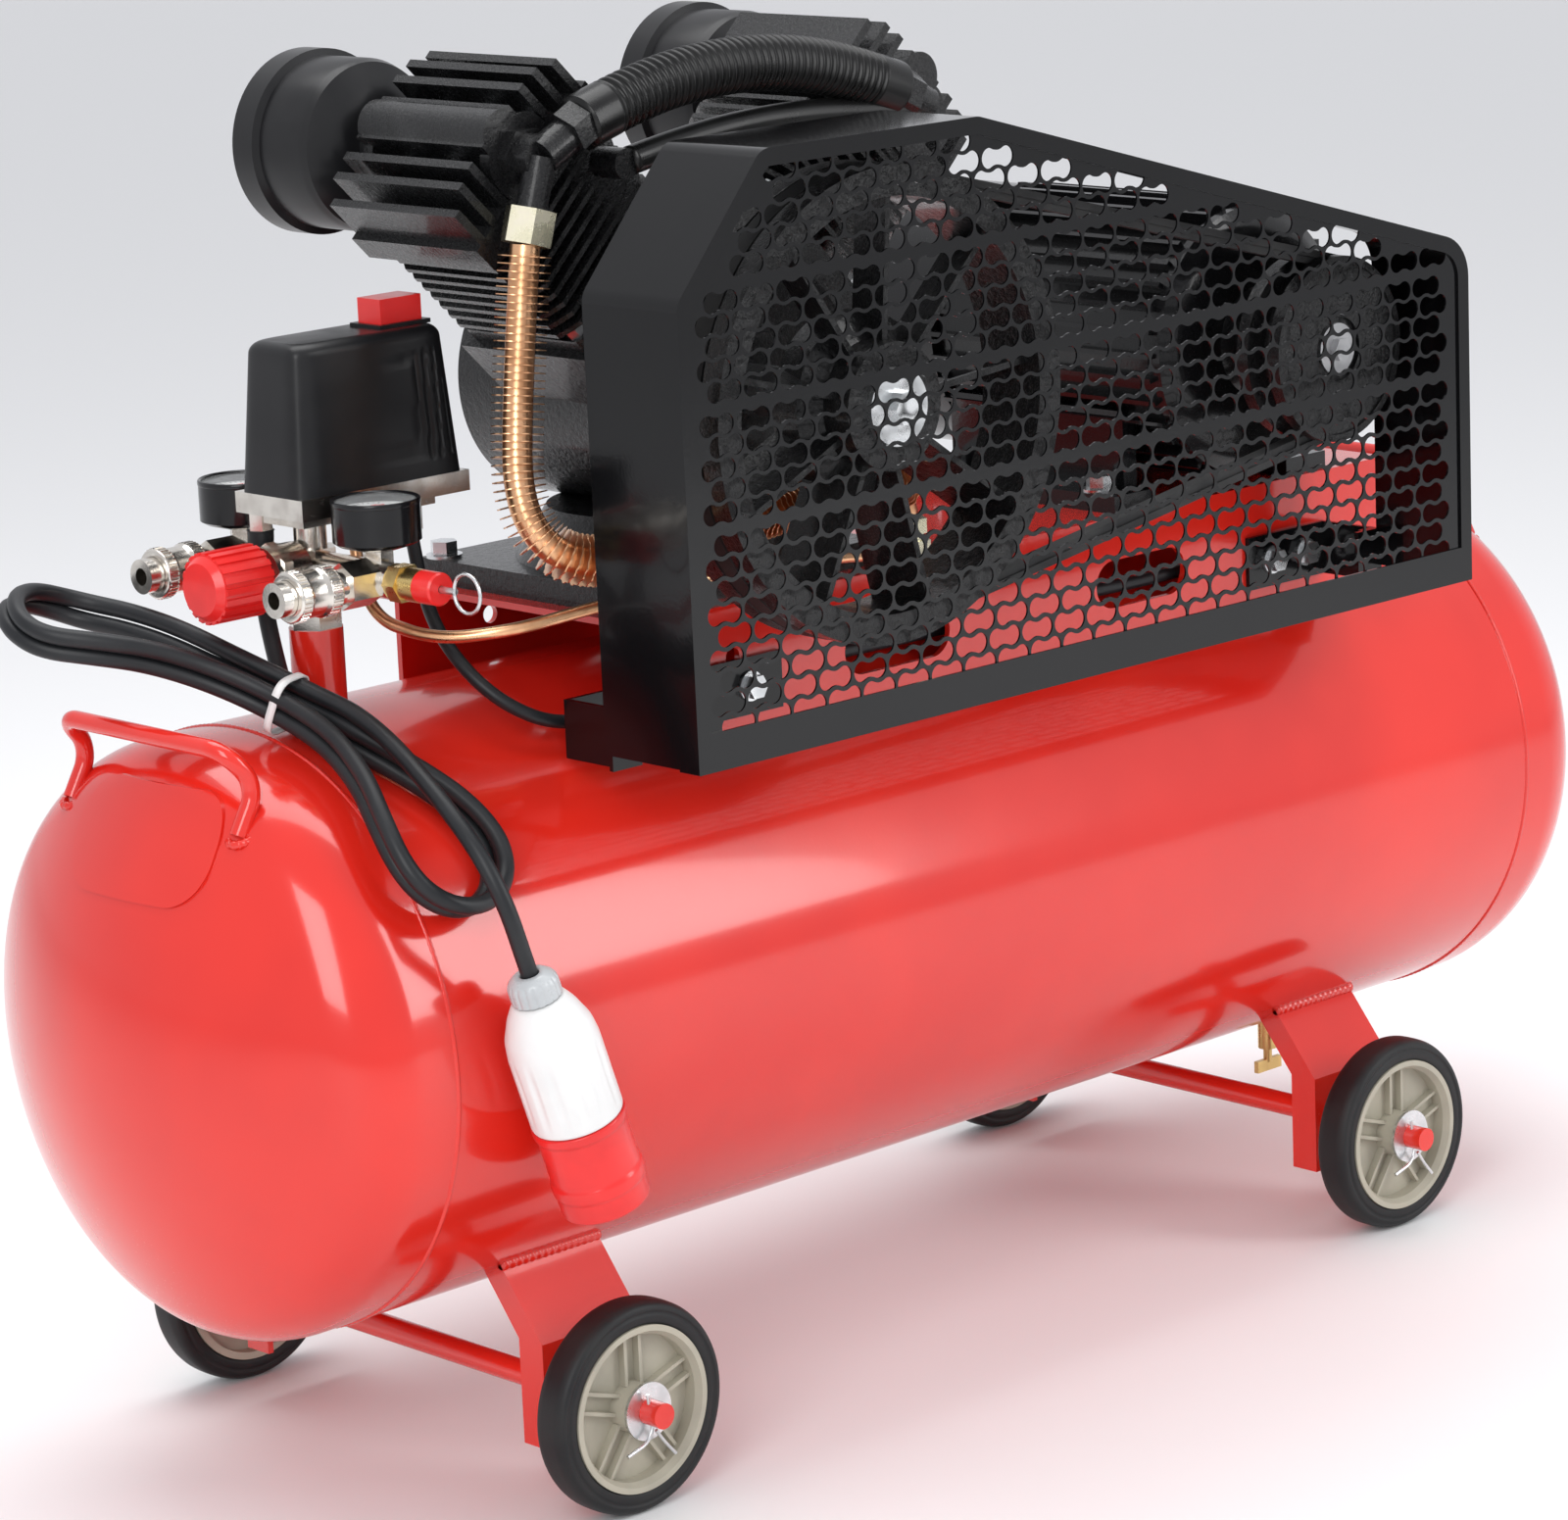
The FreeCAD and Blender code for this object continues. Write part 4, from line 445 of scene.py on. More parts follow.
FINISHES = {
    RED: ["tank_shell", "tank_ends", "lifting_handles", "data_plate", "outlet_post", "undercarriage",
          "axle_stubs", "saddle_plate"],
    BLACK: ["guard_shell", "guard_mesh", "guard_arms"],
    CAST: ["crankcase", "flywheel", "motor_pulley"],
    FINE_CAST: ["cylinders", "cylinder_heads", "outlet_elbows"],
    MOTOR_BLACK: ["motor_housing", "motor_covers"],
    ZINC: ["wheel_fasteners", "machine_bolts", "crankshaft", "safety_ring", "pump_bolts"],
    BRASS: ["drain_valve", "drain_tap", "safety_valve"],
    NICKEL: ["manifold", "coupler_sleeve_left", "coupler_sleeve_right", "switch_base"],
    YELLOW_ZINC: ["tube_nuts"],
    COPPER: ["discharge_tube", "unloader_tube"],
    STEEL: ["motor_shaft"],
    ALLOY: ["piston_left", "piston_right"],
    BELT: ["drive_belt"],
    HOSE: ["crossover_hose"],
    CABLE: ["power_cord", "cord_hank", "motor_cable"],
    SATIN: ["terminal_box", "switch_cover", "intake_filters"],
    GLOSSY: ["gauge_cases"],
    RED_PLASTIC: ["switch_button", "regulator_knob", "gauge_needle_left", "gauge_needle_right",
                  "plug_shroud"],
    WHITE: ["plug_body"],
    TYRE: [f"tyre_{side}_{end}" for side in ("front", "rear") for end in ("left", "right")],
    HUB: [f"hub_{side}_{end}" for side in ("front", "rear") for end in ("left", "right")],
}
for finish, names in FINISHES.items():
    for name in names:
        solid = nodes[name]
        dress(solid, finish)
        solid.data.polygons.foreach_set("use_smooth", np.ones(len(solid.data.polygons), bool))
        weld = solid.modifiers.new("weld", "WELD")
        weld.merge_threshold = 2e-6
        crisp(solid, 30)
print("dressed", sum(len(names) for names in FINISHES.values()), "of", len(nodes))


# %% [markdown]
# ## The drum
# The receiver is the largest and glossiest surface, so every facet would show in its highlights. It is
# worked out afresh: a rolled tube, and two dished ends whose outline is a wide crown arc that runs into a
# tight knuckle arc. The ends are pressed from plate, so they are thin shells.

# %% The rolled drum
ALONG = (1, 0, 0)
seam_low, seam_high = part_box("tank_shell")
TANK_RADIUS = 175 * MM
TANK_AXIS = np.array([0.0, (seam_high.y + seam_low.y) / 2, (seam_high.z + seam_low.z) / 2])
WALL = 3 * MM
SEAM = seam_high.x
drum_profile = [(TANK_RADIUS - WALL, -SEAM), (TANK_RADIUS, -SEAM), (TANK_RADIUS, SEAM),
                (TANK_RADIUS - WALL, SEAM)]
drum = crisp(dress(lathe("drum", drum_profile, TANK_AXIS, ALONG, 288), RED))
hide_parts("tank_shell")
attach(drum, "frame")
print("drum radius", round(TANK_RADIUS, 4), "seams at", round(SEAM, 3))


# %% The dished ends
def dished_outline(grow, steps=28):
    """(radius, height) from the seam to the apex: flange, knuckle arc, crown arc, grown outwards."""
    crown, knuckle, flange = 0.8 * 2 * TANK_RADIUS, 0.154 * 2 * TANK_RADIUS, 23 * MM
    bend = SEAM + flange
    centre_radius = TANK_RADIUS - knuckle
    depth = crown - math.sqrt((crown - knuckle) ** 2 - centre_radius ** 2)
    crown_centre = bend + depth - crown
    lean = math.atan2(centre_radius, bend - crown_centre)
    near = np.linspace(math.pi / 2, lean, steps)
    far = np.linspace(lean, 0, steps)[1:]
    knuckle_arc = np.stack([centre_radius + (knuckle + grow) * np.sin(near),
                            bend + (knuckle + grow) * np.cos(near)], 1)
    crown_arc = np.stack([(crown + grow) * np.sin(far), crown_centre + (crown + grow) * np.cos(far)], 1)
    return np.vstack([[(TANK_RADIUS + grow, SEAM)], knuckle_arc, crown_arc])


end_profile = np.vstack([dished_outline(0.0), dished_outline(-WALL)[::-1]])
for word, side in (("left", -1), ("right", 1)):
    end = lathe(f"dished_end_{word}", end_profile, TANK_AXIS, (side, 0, 0), 288)
    crisp(dress(end, RED), 60)
    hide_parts("tank_ends")
    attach(end, "frame")


# %% [markdown]
# ## Weld beads
# A welded drum shows its seams: a low bead round each end, and a coarser one wherever a bracket or a
# handle was added by hand. A bead is a thin pipe whose radius swells a little at each puddle of the weld.

# %% Weld beads
SWELL = 0.24


def bead(name, place, radius, puddle, closed=False):
    """A pipe with radius r (1 + swell |sin(pi s / puddle)|), where s is the distance travelled."""
    place = np.asarray(place, float)
    tangent = np.gradient(place, axis=0)
    tangent /= np.linalg.norm(tangent, axis=1, keepdims=True)
    travelled = np.concatenate([[0], np.cumsum(np.linalg.norm(np.diff(place, axis=0), axis=1))])
    swell = radius * (1 + SWELL * np.abs(np.sin(math.pi * travelled / puddle)))
    helper = (0.31, 0.17, 0.93) if not closed else ALONG
    made = dress(pipe(name, place, tangent, swell, 10, helper), RED)
    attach(made, "frame")
    return made


turn = np.linspace(0, 2 * np.pi, 721)[:, None]
circle = np.hstack([np.zeros_like(turn), np.cos(turn), np.sin(turn)])
for word, side in (("left", -1), ("right", 1)):
    seam_line = TANK_AXIS + circle * (TANK_RADIUS - 0.7 * MM) + np.array([side * SEAM, 0, 0])
    bead(f"seam_bead_{word}", seam_line, 1.5 * MM, 4 * MM, closed=True)
AXLES = {"left": -353.5 * MM, "right": 315.7 * MM}
BEAD_OUT, BEAD_UP, PLATE_HALF = 105.5 * MM, 138 * MM, 37 * MM
for end_word, axle in AXLES.items():
    for side_word, side in (("front", -1), ("rear", 1)):
        along = np.linspace(axle + 8 * MM - PLATE_HALF, axle + 8 * MM + PLATE_HALF, 60)[:, None]
        line = np.hstack([along, 0 * along + TANK_LINE + side * BEAD_OUT, 0 * along + BEAD_UP])
        bead(f"bracket_bead_{side_word}_{end_word}", line, 3.2 * MM, 5 * MM)
FOOT = np.array([524.5, 76.0, 412.0]) * MM
loop = np.hstack([np.cos(turn[::12]), np.sin(turn[::12]), 0.25 * np.cos(turn[::12])])
for end_word, end_side in (("left", -1), ("right", 1)):
    for side_word, side in (("front", -1), ("rear", 1)):
        centre = FOOT * (end_side, side, 1) + (0, TANK_LINE, 0)
        rim_line = centre + loop * (end_side, 1, -1) * 6.2 * MM
        bead(f"handle_bead_{side_word}_{end_word}", rim_line, 2.2 * MM, 3 * MM)


# %% [markdown]
# ## The tyres
# A solid rubber tyre has round shoulders, a shallow groove beside each shoulder and a slightly crowned
# tread. It is a turned piece, so its profile says it all.

# %% Four tyres
TYRE_PROFILE = np.array([(49, 0.6), (54, 0.2), (55, 1.0), (56.4, 1.0), (57.2, 0.2), (60.4, 1.2), (62.3, 5.5),
                         (62.5, 12), (62.3, 18.5), (60.4, 22.8), (57.2, 23.8), (56.4, 23), (55, 23),
                         (54, 23.8), (49, 23.4)]) * MM
for side_word, side in (("front", -1), ("rear", 1)):
    for end_word, axle in AXLES.items():
        name = f"tyre_{side_word}_{end_word}"
        low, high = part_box(name)
        inner = low.y if side > 0 else high.y
        centre = (axle, inner, (low.z + high.z) / 2)
        outline = soften(TYRE_PROFILE, 2 * MM, 3)
        tyre = dress(lathe(name + "_rubber", outline, centre, (0, side, 0), 128), TYRE)
        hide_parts(name)
        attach(tyre, f"wheel_{side_word}_{end_word}")


# %% [markdown]
# ## The finned copper pipe
# Hot air from the heads is cooled on its way down by a copper pipe rolled with thin fins. Fins are cut
# into the section as it travels: the radius jumps from the core to the fin's edge and back every 4.3 mm,
# and each edge is crimped a little, as rolling leaves it.

# %% The copper pipe
def shifted(route):
    """A route in millimetres from the drum's axis line, as metres in the frame."""
    return (np.asarray(route, float) + (0, 12, 0)) * MM


DISCHARGE_ROUTE = shifted([(-313, -93, 713), (-327, -95, 630), (-339, -105, 562), (-316, -128, 533),
                           (-240, -131, 538), (-160, -130, 545), (-82, -120, 545), (-34, -101, 537),
                           (-28, -97, 514)])
CORE, FIN, PITCH = 8.5 * MM, 14.6 * MM, 4.3 * MM
place, tangent, distance = line_points(DISCHARGE_ROUTE, 1 * MM)
count = int((distance[-1] - 26 * MM) / PITCH)
stations = 6 * MM + PITCH * np.arange(count)[:, None] + np.array([0.0, 0.12, 0.75, 0.9]) * MM
stations = np.concatenate([[0], stations.ravel(), [distance[-1]]])
radii = np.concatenate([[CORE], np.tile([CORE, FIN, FIN, CORE], count), [CORE]])
line = np.stack([np.interp(stations, distance, place[:, k]) for k in range(3)], axis=1)
lean = np.stack([np.interp(stations, distance, tangent[:, k]) for k in range(3)], axis=1)
lean /= np.linalg.norm(lean, axis=1, keepdims=True)


def crimp(radius, angle):
    """Waves round a fin's edge, none on the core."""
    return np.where(radius > 12 * MM, 0.55 * MM * np.sin(13 * angle + 900 * radius), 0)


copper_pipe = crisp(dress(pipe("copper_pipe", line, lean, radii, 52, (0, 1, 0), crimp), COPPER), 40)
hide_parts("discharge_tube")
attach(copper_pipe, "frame")
print("copper pipe", round(distance[-1], 3), "m with", count, "fins")


# %% [markdown]
# ## The ribbed hose
# The two heads are joined by a corrugated hose. Its radius follows a cosine of the distance travelled, which
# a tanh flattens into ribs and grooves, with a plain cuff at each end where it is clamped. A slim plain
# hose runs below it.

# %% Two hoses
HOSE_ROUTE = shifted([(-268, -93, 776), (-227, -93, 789), (-172, -93, 797), (-115, -93, 796),
                      (-60, -93, 785), (-21, -93, 771)])
SLIM_ROUTE = shifted([(-232, -93, 751), (-199, -93, 757), (-140, -93, 763), (-75, -93, 763),
                      (-13, -93, 757)])
RIB_PITCH, CUFF = 5.4 * MM, 20 * MM
place, tangent, distance = line_points(HOSE_ROUTE, RIB_PITCH / 8)
wave = 15.2 * MM + 1.25 * MM * np.tanh(2.2 * np.cos(2 * math.pi * distance / RIB_PITCH))
in_cuff = (distance < CUFF) | (distance > distance[-1] - CUFF)
ribbed = dress(pipe("ribbed_hose", place, tangent, np.where(in_cuff, 16.4 * MM, wave), 56), HOSE)
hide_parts("crossover_hose")
place, tangent, distance = line_points(SLIM_ROUTE, 2 * MM)
slim = dress(pipe("slim_hose", place, tangent, np.full(len(place), 8.4 * MM), 40), HOSE)
for hose in (ribbed, slim):
    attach(hose, "frame")


# %% [markdown]
# ## The mains cable
# The cable leaves the pressure switch, drops beside the red post and is folded twice into a long hank
# that lies over the drum's shoulder. A tie holds the middle, so the strands are close there and open into
# round loops at both ends. The second lap opens a little wider, and each lap climbs by one cable's
# thickness.

# %% The cable's line
CABLE_RADIUS = 5 * MM
ENTRY = [(-421, 23, 557), (-421.5, 25, 520), (-426, 11, 487), (-438, -14, 465)]
TAIL = [(-449, -168, 424), (-448.7, -203, 388.3), (-432, -203, 338), (-428.2, -203, 326.6)]
SPINE = np.array([(-437, -173.0, 362.4), (-441, -138.5, 411.7), (-446, -90.4, 448.0), (-456, -33.4, 467.6),
                  (-486, 18, 494), (-508, 45, 503), (-530, 78, 509), (-549, 105, 530)])
BEND = np.array([(-40, 9), (-78, 19), (-108, 30), (-134, 35), (-153, 30.3), (-166, 17.5), (-171, 0)], float)
FRONT_BEND = np.vstack([BEND, BEND[-2::-1] * (1, -1)])
LAP = np.vstack([[(-9, 10.5)], FRONT_BEND, [(0, -7)], -FRONT_BEND])
LOOK, LOWEST, PER_LAP = 30, -7.5, 10.0
spine_run = np.concatenate([[0], np.cumsum(np.linalg.norm(np.diff(SPINE, axis=0), axis=1))])
TIE_RUN = spine_run[3]


def spine_at(run):
    """Points on the hank's middle line, at distances from its lower end."""
    return np.stack([np.interp(run, spine_run, SPINE[:, k]) for k in range(3)], axis=1)


def on_spine(along):
    """Place, sideways and upwards directions on the hank's middle line, at distances from the tie."""
    run = TIE_RUN + np.asarray(along, float)
    ahead = spine_at(run + LOOK) - spine_at(run - LOOK)
    ahead /= np.linalg.norm(ahead, axis=1, keepdims=True)
    aside = np.cross(ahead, (0.0, 0.0, 1.0))
    aside /= np.linalg.norm(aside, axis=1, keepdims=True)
    return spine_at(run), aside, np.cross(aside, ahead)


laps = []
for lap, (shift, spread) in enumerate(((0.0, 1.0), (-3.0, 1.1))):
    climb = LOWEST + PER_LAP * (lap + np.arange(len(LAP)) / len(LAP))
    here, aside, upward = on_spine(LAP[:, 0] + shift)
    laps.append(here + aside * (LAP[:, 1:] * spread) + upward * climb[:, None])
here, aside, upward = on_spine([-4.0, -52.0])
leaving = here + aside * [[8.0], [13.0]] + upward * 12.5
cable_route = shifted(np.vstack([ENTRY, *laps, leaving, TAIL]))
print("cable controls", len(cable_route))


# %% Lay the cable and tie it
mains = dress(route_curve("mains_cable", cable_route, CABLE_RADIUS), CABLE)
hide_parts("power_cord", "cord_hank")
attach(mains, "frame")

here, aside, upward = on_spine([0.0])
here = here + aside * 1.2 + upward * 2.2
around = np.linspace(0, 2 * np.pi, 97)[:, None]
TIE_WIDE, TIE_TALL, TIE_THICK, SQUARENESS = 16.2, 17.2, 1.0, 0.55
round_x = np.sign(np.cos(around)) * np.abs(np.cos(around)) ** SQUARENESS
round_z = np.sign(np.sin(around)) * np.abs(np.sin(around)) ** SQUARENESS
tie_line = here + aside * round_x * TIE_WIDE + upward * round_z * TIE_TALL
inner_line = here + aside * round_x * (TIE_WIDE - TIE_THICK) + upward * round_z * (TIE_TALL - TIE_THICK)
ahead = np.cross(upward, aside)
tie_grid = np.stack([tie_line + ahead * across + 0 * around for across in (-2.4, 2.4)], axis=1)
tie_thick = np.stack([inner_line + ahead * across for across in (2.4, -2.4)], axis=1)
tie = surface("cable_tie", shifted(np.concatenate([tie_grid, tie_thick], axis=1)), wrap_columns=True)
dress(tie, WHITE)
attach(tie, "frame")

MOTOR_ROUTE = shifted([(-339, -10, 548), (-341, -18, 515), (-352, -50, 486), (-344, -84, 457),
                       (-310, -100, 438), (-250, -97, 440), (-140, -96, 443), (-20, -95, 441),
                       (95, -95, 443), (205, -96.5, 441), (290, -93, 445), (340, -70, 457),
                       (365, -38, 480), (372, -16, 511), (372, -10, 541)])
motor_lead = dress(route_curve("motor_lead", MOTOR_ROUTE, 4 * MM), CABLE)
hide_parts("motor_cable")
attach(motor_lead, "frame")


# %% [markdown]
# ## The plug
# The plug is a turned white handle with grip flutes, a grey cable nut on top and a red ring that shields
# the pins. The flutes are a ripple in the turned radius that fades out at both ends.

# %% The plug's parts
PLUG_TOP = shifted([(-432, -203, 338)])[0]
PLUG_LEAN = np.array([50.0, 0.0, -150.0]) / math.hypot(50, 150)


def flutes(radius, height, angle):
    """Shallow grooves between two heights, deepest half way."""
    fade = np.clip(1 - ((height - 66 * MM) / (24 * MM)) ** 2, 0, 1)
    return -0.9 * MM * fade * np.clip(np.cos(14 * angle), 0, 1) * (radius > 20 * MM)


def nut_ripple(radius, height, angle):
    """Eighteen finger grooves on the nut's wide part."""
    return -0.5 * MM * np.clip(np.cos(18 * angle), 0, 1) * (radius > 13 * MM)


def key(radius, height, angle):
    """A rounded rib along the ring, which lets the plug in one way only."""
    return 1.4 * MM * np.exp(-((angle - 1.2) / 0.13) ** 2) * (radius > 24 * MM)


def relief_ripple(radius, height, angle):
    """Rings cut round the rubber sleeve so that it bends easily."""
    return -0.6 * MM * (np.sin(height / (1.2 * MM)) > 0.3) * (radius > 5.6 * MM)


HANDLE = np.array([(5.1, 16), (15, 16), (20, 24), (25, 36), (26.4, 46), (26.4, 54), (26.4, 62), (26.4, 70),
                   (26.4, 78), (26.4, 86), (26.4, 92), (24, 92), (5.1, 92)]) * MM
handle_profile = soften(HANDLE, 2.5 * MM)
plug_handle = dress(lathe("plug_handle", handle_profile, PLUG_TOP, PLUG_LEAN, 168, flutes), WHITE)
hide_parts("plug_body")
NUT = np.array([(5.2, 0), (9, 0), (13, 3), (14.5, 6), (14.5, 15.6), (5.2, 15.6)]) * MM
nut_profile = soften(NUT, 1.5 * MM)
plug_nut = dress(lathe("plug_nut", nut_profile, PLUG_TOP, PLUG_LEAN, 144, nut_ripple), MILKY)
RING = np.array([(21.6, 92.3), (27, 92.3), (27, 97), (25.6, 99), (25.6, 126), (26.8, 128), (26.8, 134),
                 (25.6, 136), (25.6, 148), (21.6, 148)]) * MM
ring_profile = soften(RING, 1.2 * MM)
plug_ring = dress(lathe("plug_ring", ring_profile, PLUG_TOP, PLUG_LEAN, 160, key), RED_PLASTIC)
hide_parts("plug_shroud")
_, across_first, across_second = square_to(PLUG_LEAN)
pin_profile = soften(np.array([(0, 90), (2.5, 90), (2.5, 128), (0, 128)]) * MM, 1.6 * MM)
pins = []
for index in range(3):
    angle = 2 * math.pi * index / 3 + 0.5
    offset = 12 * MM * (math.cos(angle) * across_first + math.sin(angle) * across_second)
    pins.append(dress(lathe(f"plug_pin_{index}", pin_profile, PLUG_TOP + offset, PLUG_LEAN, 24), NICKEL))
for piece, slot in ((plug_handle, "white_plastic"), (plug_nut, "white_plastic"), (plug_ring, "red_plastic"),
                    *[(pin, "nickel") for pin in pins]):
    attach(piece, "frame")

sleeve_profile = soften(np.array([(5.15, 0), (8.2, 0), (7.4, 6), (6.2, 30), (5.15, 30)]) * MM, 0.8 * MM)
relief = dress(lathe("strain_relief", sleeve_profile, shifted([(-421, 23, 557)])[0], (-0.01, 0.05, -1), 48,
                     relief_ripple), CABLE)
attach(relief, "frame")


# %% [markdown]
# ## Small bars
# The marks on the dials and the collar round the button are little bars. One helper makes any number of
# them at once: each corner is the centre plus or minus half the length, width and height along three
# directions.

# %% Bars in one mesh
def bars(name, centre, long_way, wide_way, length, width, height):
    """A mesh of boxes: centre +- length/2 u +- width/2 v +- height/2 (u x v), one per row."""
    centre, long_way, wide_way = (np.atleast_2d(np.asarray(value, float))
                                  for value in (centre, long_way, wide_way))
    count = len(centre)
    high_way = np.cross(long_way, wide_way)
    square = ((-1, -1), (1, -1), (1, 1), (-1, 1))
    signs = np.array([(x, y, z) for z in (-1, 1) for x, y in square], float) / 2
    sizes = np.broadcast_to(np.stack(np.broadcast_arrays(length, width, height), axis=-1), (count, 3))
    steps = signs[None] * sizes[:, None]
    corners = centre[:, None] + sum(steps[..., k:k + 1] * way[:, None]
                                    for k, way in enumerate((long_way, wide_way, high_way)))
    box = np.array([(0, 3, 2, 1), (4, 5, 6, 7), (0, 1, 5, 4), (1, 2, 6, 5), (2, 3, 7, 6), (3, 0, 4, 7)])
    faces = (box[None] + 8 * np.arange(count)[:, None, None]).reshape(-1, 4)
    mesh = bpy.data.meshes.new(name)
    mesh.from_pydata(corners.reshape(-1, 3).tolist(), [], faces.tolist())
    piece = finished(name, mesh)
    piece.data.polygons.foreach_set("use_smooth", np.zeros(len(piece.data.polygons), bool))
    return piece


# %% [markdown]
# ## The gauges
# Each gauge is a black cup with a white card, a ring of marks over three quarters of a turn, and a domed
# window. The red pointer is a moving part and stays as the solids have it.

# %% Dials, marks and windows
window_mix = Recipe("window")
WINDOW = window_mix.give(Base_Color=(0.9, 0.92, 0.92), Roughness=0.03, IOR=1.46, Alpha=0.16)
GAUGE_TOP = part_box("gauge_cases")[1].z
CARD_LEVEL = GAUGE_TOP - 4.9 * MM
gauge_places = {"left": np.array([-404, 72, 0]) * MM, "right": np.array([-404, -48, 0]) * MM}
card_profile = np.array([(1.6, 0), (22.9, 0), (22.9, 0.5), (1.6, 0.5)]) * MM
dome_profile = np.array([(0, 0.2), (12, 0.1), (22.8, -0.6), (22.8, 0.5), (12, 1.3), (0, 1.6)]) * MM
RIM = np.array([(22.9, -1.5), (25.3, -1.5), (25.3, 1.0), (24.4, 1.9), (22.9, 0.8)]) * MM
rim_profile = soften(RIM, 0.6 * MM)
sweep = np.radians(np.linspace(225, -45, 31))
is_long = np.arange(31) % 5 == 0
for word, spot in gauge_places.items():
    card = lathe(f"dial_{word}", card_profile, spot + (0, 0, CARD_LEVEL), (0, 0, 1), 72)
    crisp(dress(card, DIAL))
    outward = np.stack([np.cos(sweep + math.pi / 2), np.sin(sweep + math.pi / 2), 0 * sweep], axis=1)
    aside = np.stack([-outward[:, 1], outward[:, 0], 0 * sweep], axis=1)
    length = np.where(is_long, 4.2, 2.4) * MM
    centre = spot + (0, 0, CARD_LEVEL + 0.6 * MM) + outward * (20.5 * MM - length[:, None] / 2)
    marks = dress(bars(f"dial_marks_{word}", centre, outward, aside, length, 0.55 * MM, 0.2 * MM), INK)
    top = spot + (0, 0, GAUGE_TOP)
    window = dress(lathe(f"dial_window_{word}", dome_profile, top, (0, 0, 1), 72), WINDOW)
    rim = dress(lathe(f"gauge_rim_{word}", rim_profile, top, (0, 0, 1), 96), GLOSSY)
    for piece, slot in ((card, "white_plastic"), (marks, "black_plastic"), (window, "white_plastic"),
                        (rim, "black_plastic")):
        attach(piece, "frame")


# %% [markdown]
# ## The pressure switch's cover
# The cover is a tapered box with soft corners. A superellipse gives such a section: the sine and cosine of
# the angle are raised to a small power, which squares the circle. Towards the top the section shrinks on
# a quarter circle, which rounds the upper edge.

# %% The cover
cover_low, cover_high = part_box("switch_cover")
COVER_MIDDLE = np.array([(cover_low.x + cover_high.x) / 2, (cover_low.y + cover_high.y) / 2, cover_low.z])
TALL, EDGE, POWER = cover_high.z - cover_low.z, 7 * MM, 2 / 7


def squared(value):
    """A sine or cosine squared up: its size to a small power, with its own sign."""
    return np.sign(value) * np.abs(value) ** POWER


theta = np.linspace(0, 2 * np.pi, 240, endpoint=False)[None, :]
lift = np.concatenate([np.linspace(0, TALL - EDGE, 40),
                       TALL - EDGE + EDGE * np.sin(np.linspace(0.1, math.pi / 2, 10))])
lift = lift[:, None]
over = np.clip((lift - (TALL - EDGE)) / EDGE, 0, 1)
pull = EDGE * (1 - np.sqrt(np.clip(1 - over ** 2, 0, 1)))
half_long = 61 * MM - 7 * MM * lift / TALL - pull
half_wide = 30 * MM - 5 * MM * lift / TALL - pull
in_x, in_y = squared(np.cos(theta)), squared(np.sin(theta))
ribbed_zone = (np.abs(np.cos(theta)) < 0.6) * (lift > 12 * MM) * (lift < TALL - 14 * MM)
along_side = half_long * in_x
groove_depth = 0.9 * MM * ribbed_zone * (np.sin(along_side / (1.1 * MM)) > 0.2) * (along_side > 14 * MM)
cover_grid = np.stack([COVER_MIDDLE[0] + half_long * in_x,
                       COVER_MIDDLE[1] + (half_wide - groove_depth) * in_y,
                       COVER_MIDDLE[2] + lift + 0 * theta], axis=-1)
top_point = np.broadcast_to(COVER_MIDDLE + (0, 0, TALL), (1, 240, 3))
lip = cover_grid[:1] + 0.0
lip[..., :2] = COVER_MIDDLE[:2] + (lip[..., :2] - COVER_MIDDLE[:2]) * 0.96
foot_point = np.broadcast_to(COVER_MIDDLE + (0, 0, 1 * MM), (1, 240, 3))
cover = surface("switch_hood", np.concatenate([foot_point, lip, cover_grid, top_point]), wrap_columns=True)
crisp(dress(cover, SATIN), 40)
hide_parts("switch_cover")
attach(cover, "frame")
button_low, button_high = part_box("switch_button")
collar_middle = np.array([(button_low.x + button_high.x) / 2, (button_low.y + button_high.y) / 2,
                          cover_high.z + 0.6 * MM])
collar_offsets = np.array([(0, 12, 0), (0, -12, 0), (17, 0, 0), (-17, 0, 0)]) * MM
collar = bars("button_collar", collar_middle + collar_offsets,
              [(1, 0, 0), (1, 0, 0), (0, 1, 0), (0, 1, 0)], [(0, 1, 0), (0, 1, 0), (-1, 0, 0), (-1, 0, 0)],
              np.array([37, 37, 21, 21]) * MM, 3 * MM, 2.4 * MM)
dress(collar, SATIN)
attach(collar, "frame")


# %% [markdown]
# ## Quick couplers
# The sleeve that lets a hose go is knurled so that a gloved hand can pull it. A fine ripple in the turned
# radius makes the knurl, and only in two bands.

# %% Knurled sleeves
def knurl(radius, height, angle):
    """Thirty-six fine ridges in the two raised bands of the sleeve."""
    rear_band = (height > 1.5 * MM) & (height < 7 * MM)
    front_band = (height > 22 * MM) & (height < 28.5 * MM)
    return 0.45 * MM * (radius > 14 * MM) * (rear_band | front_band) * np.sign(np.cos(36 * angle))


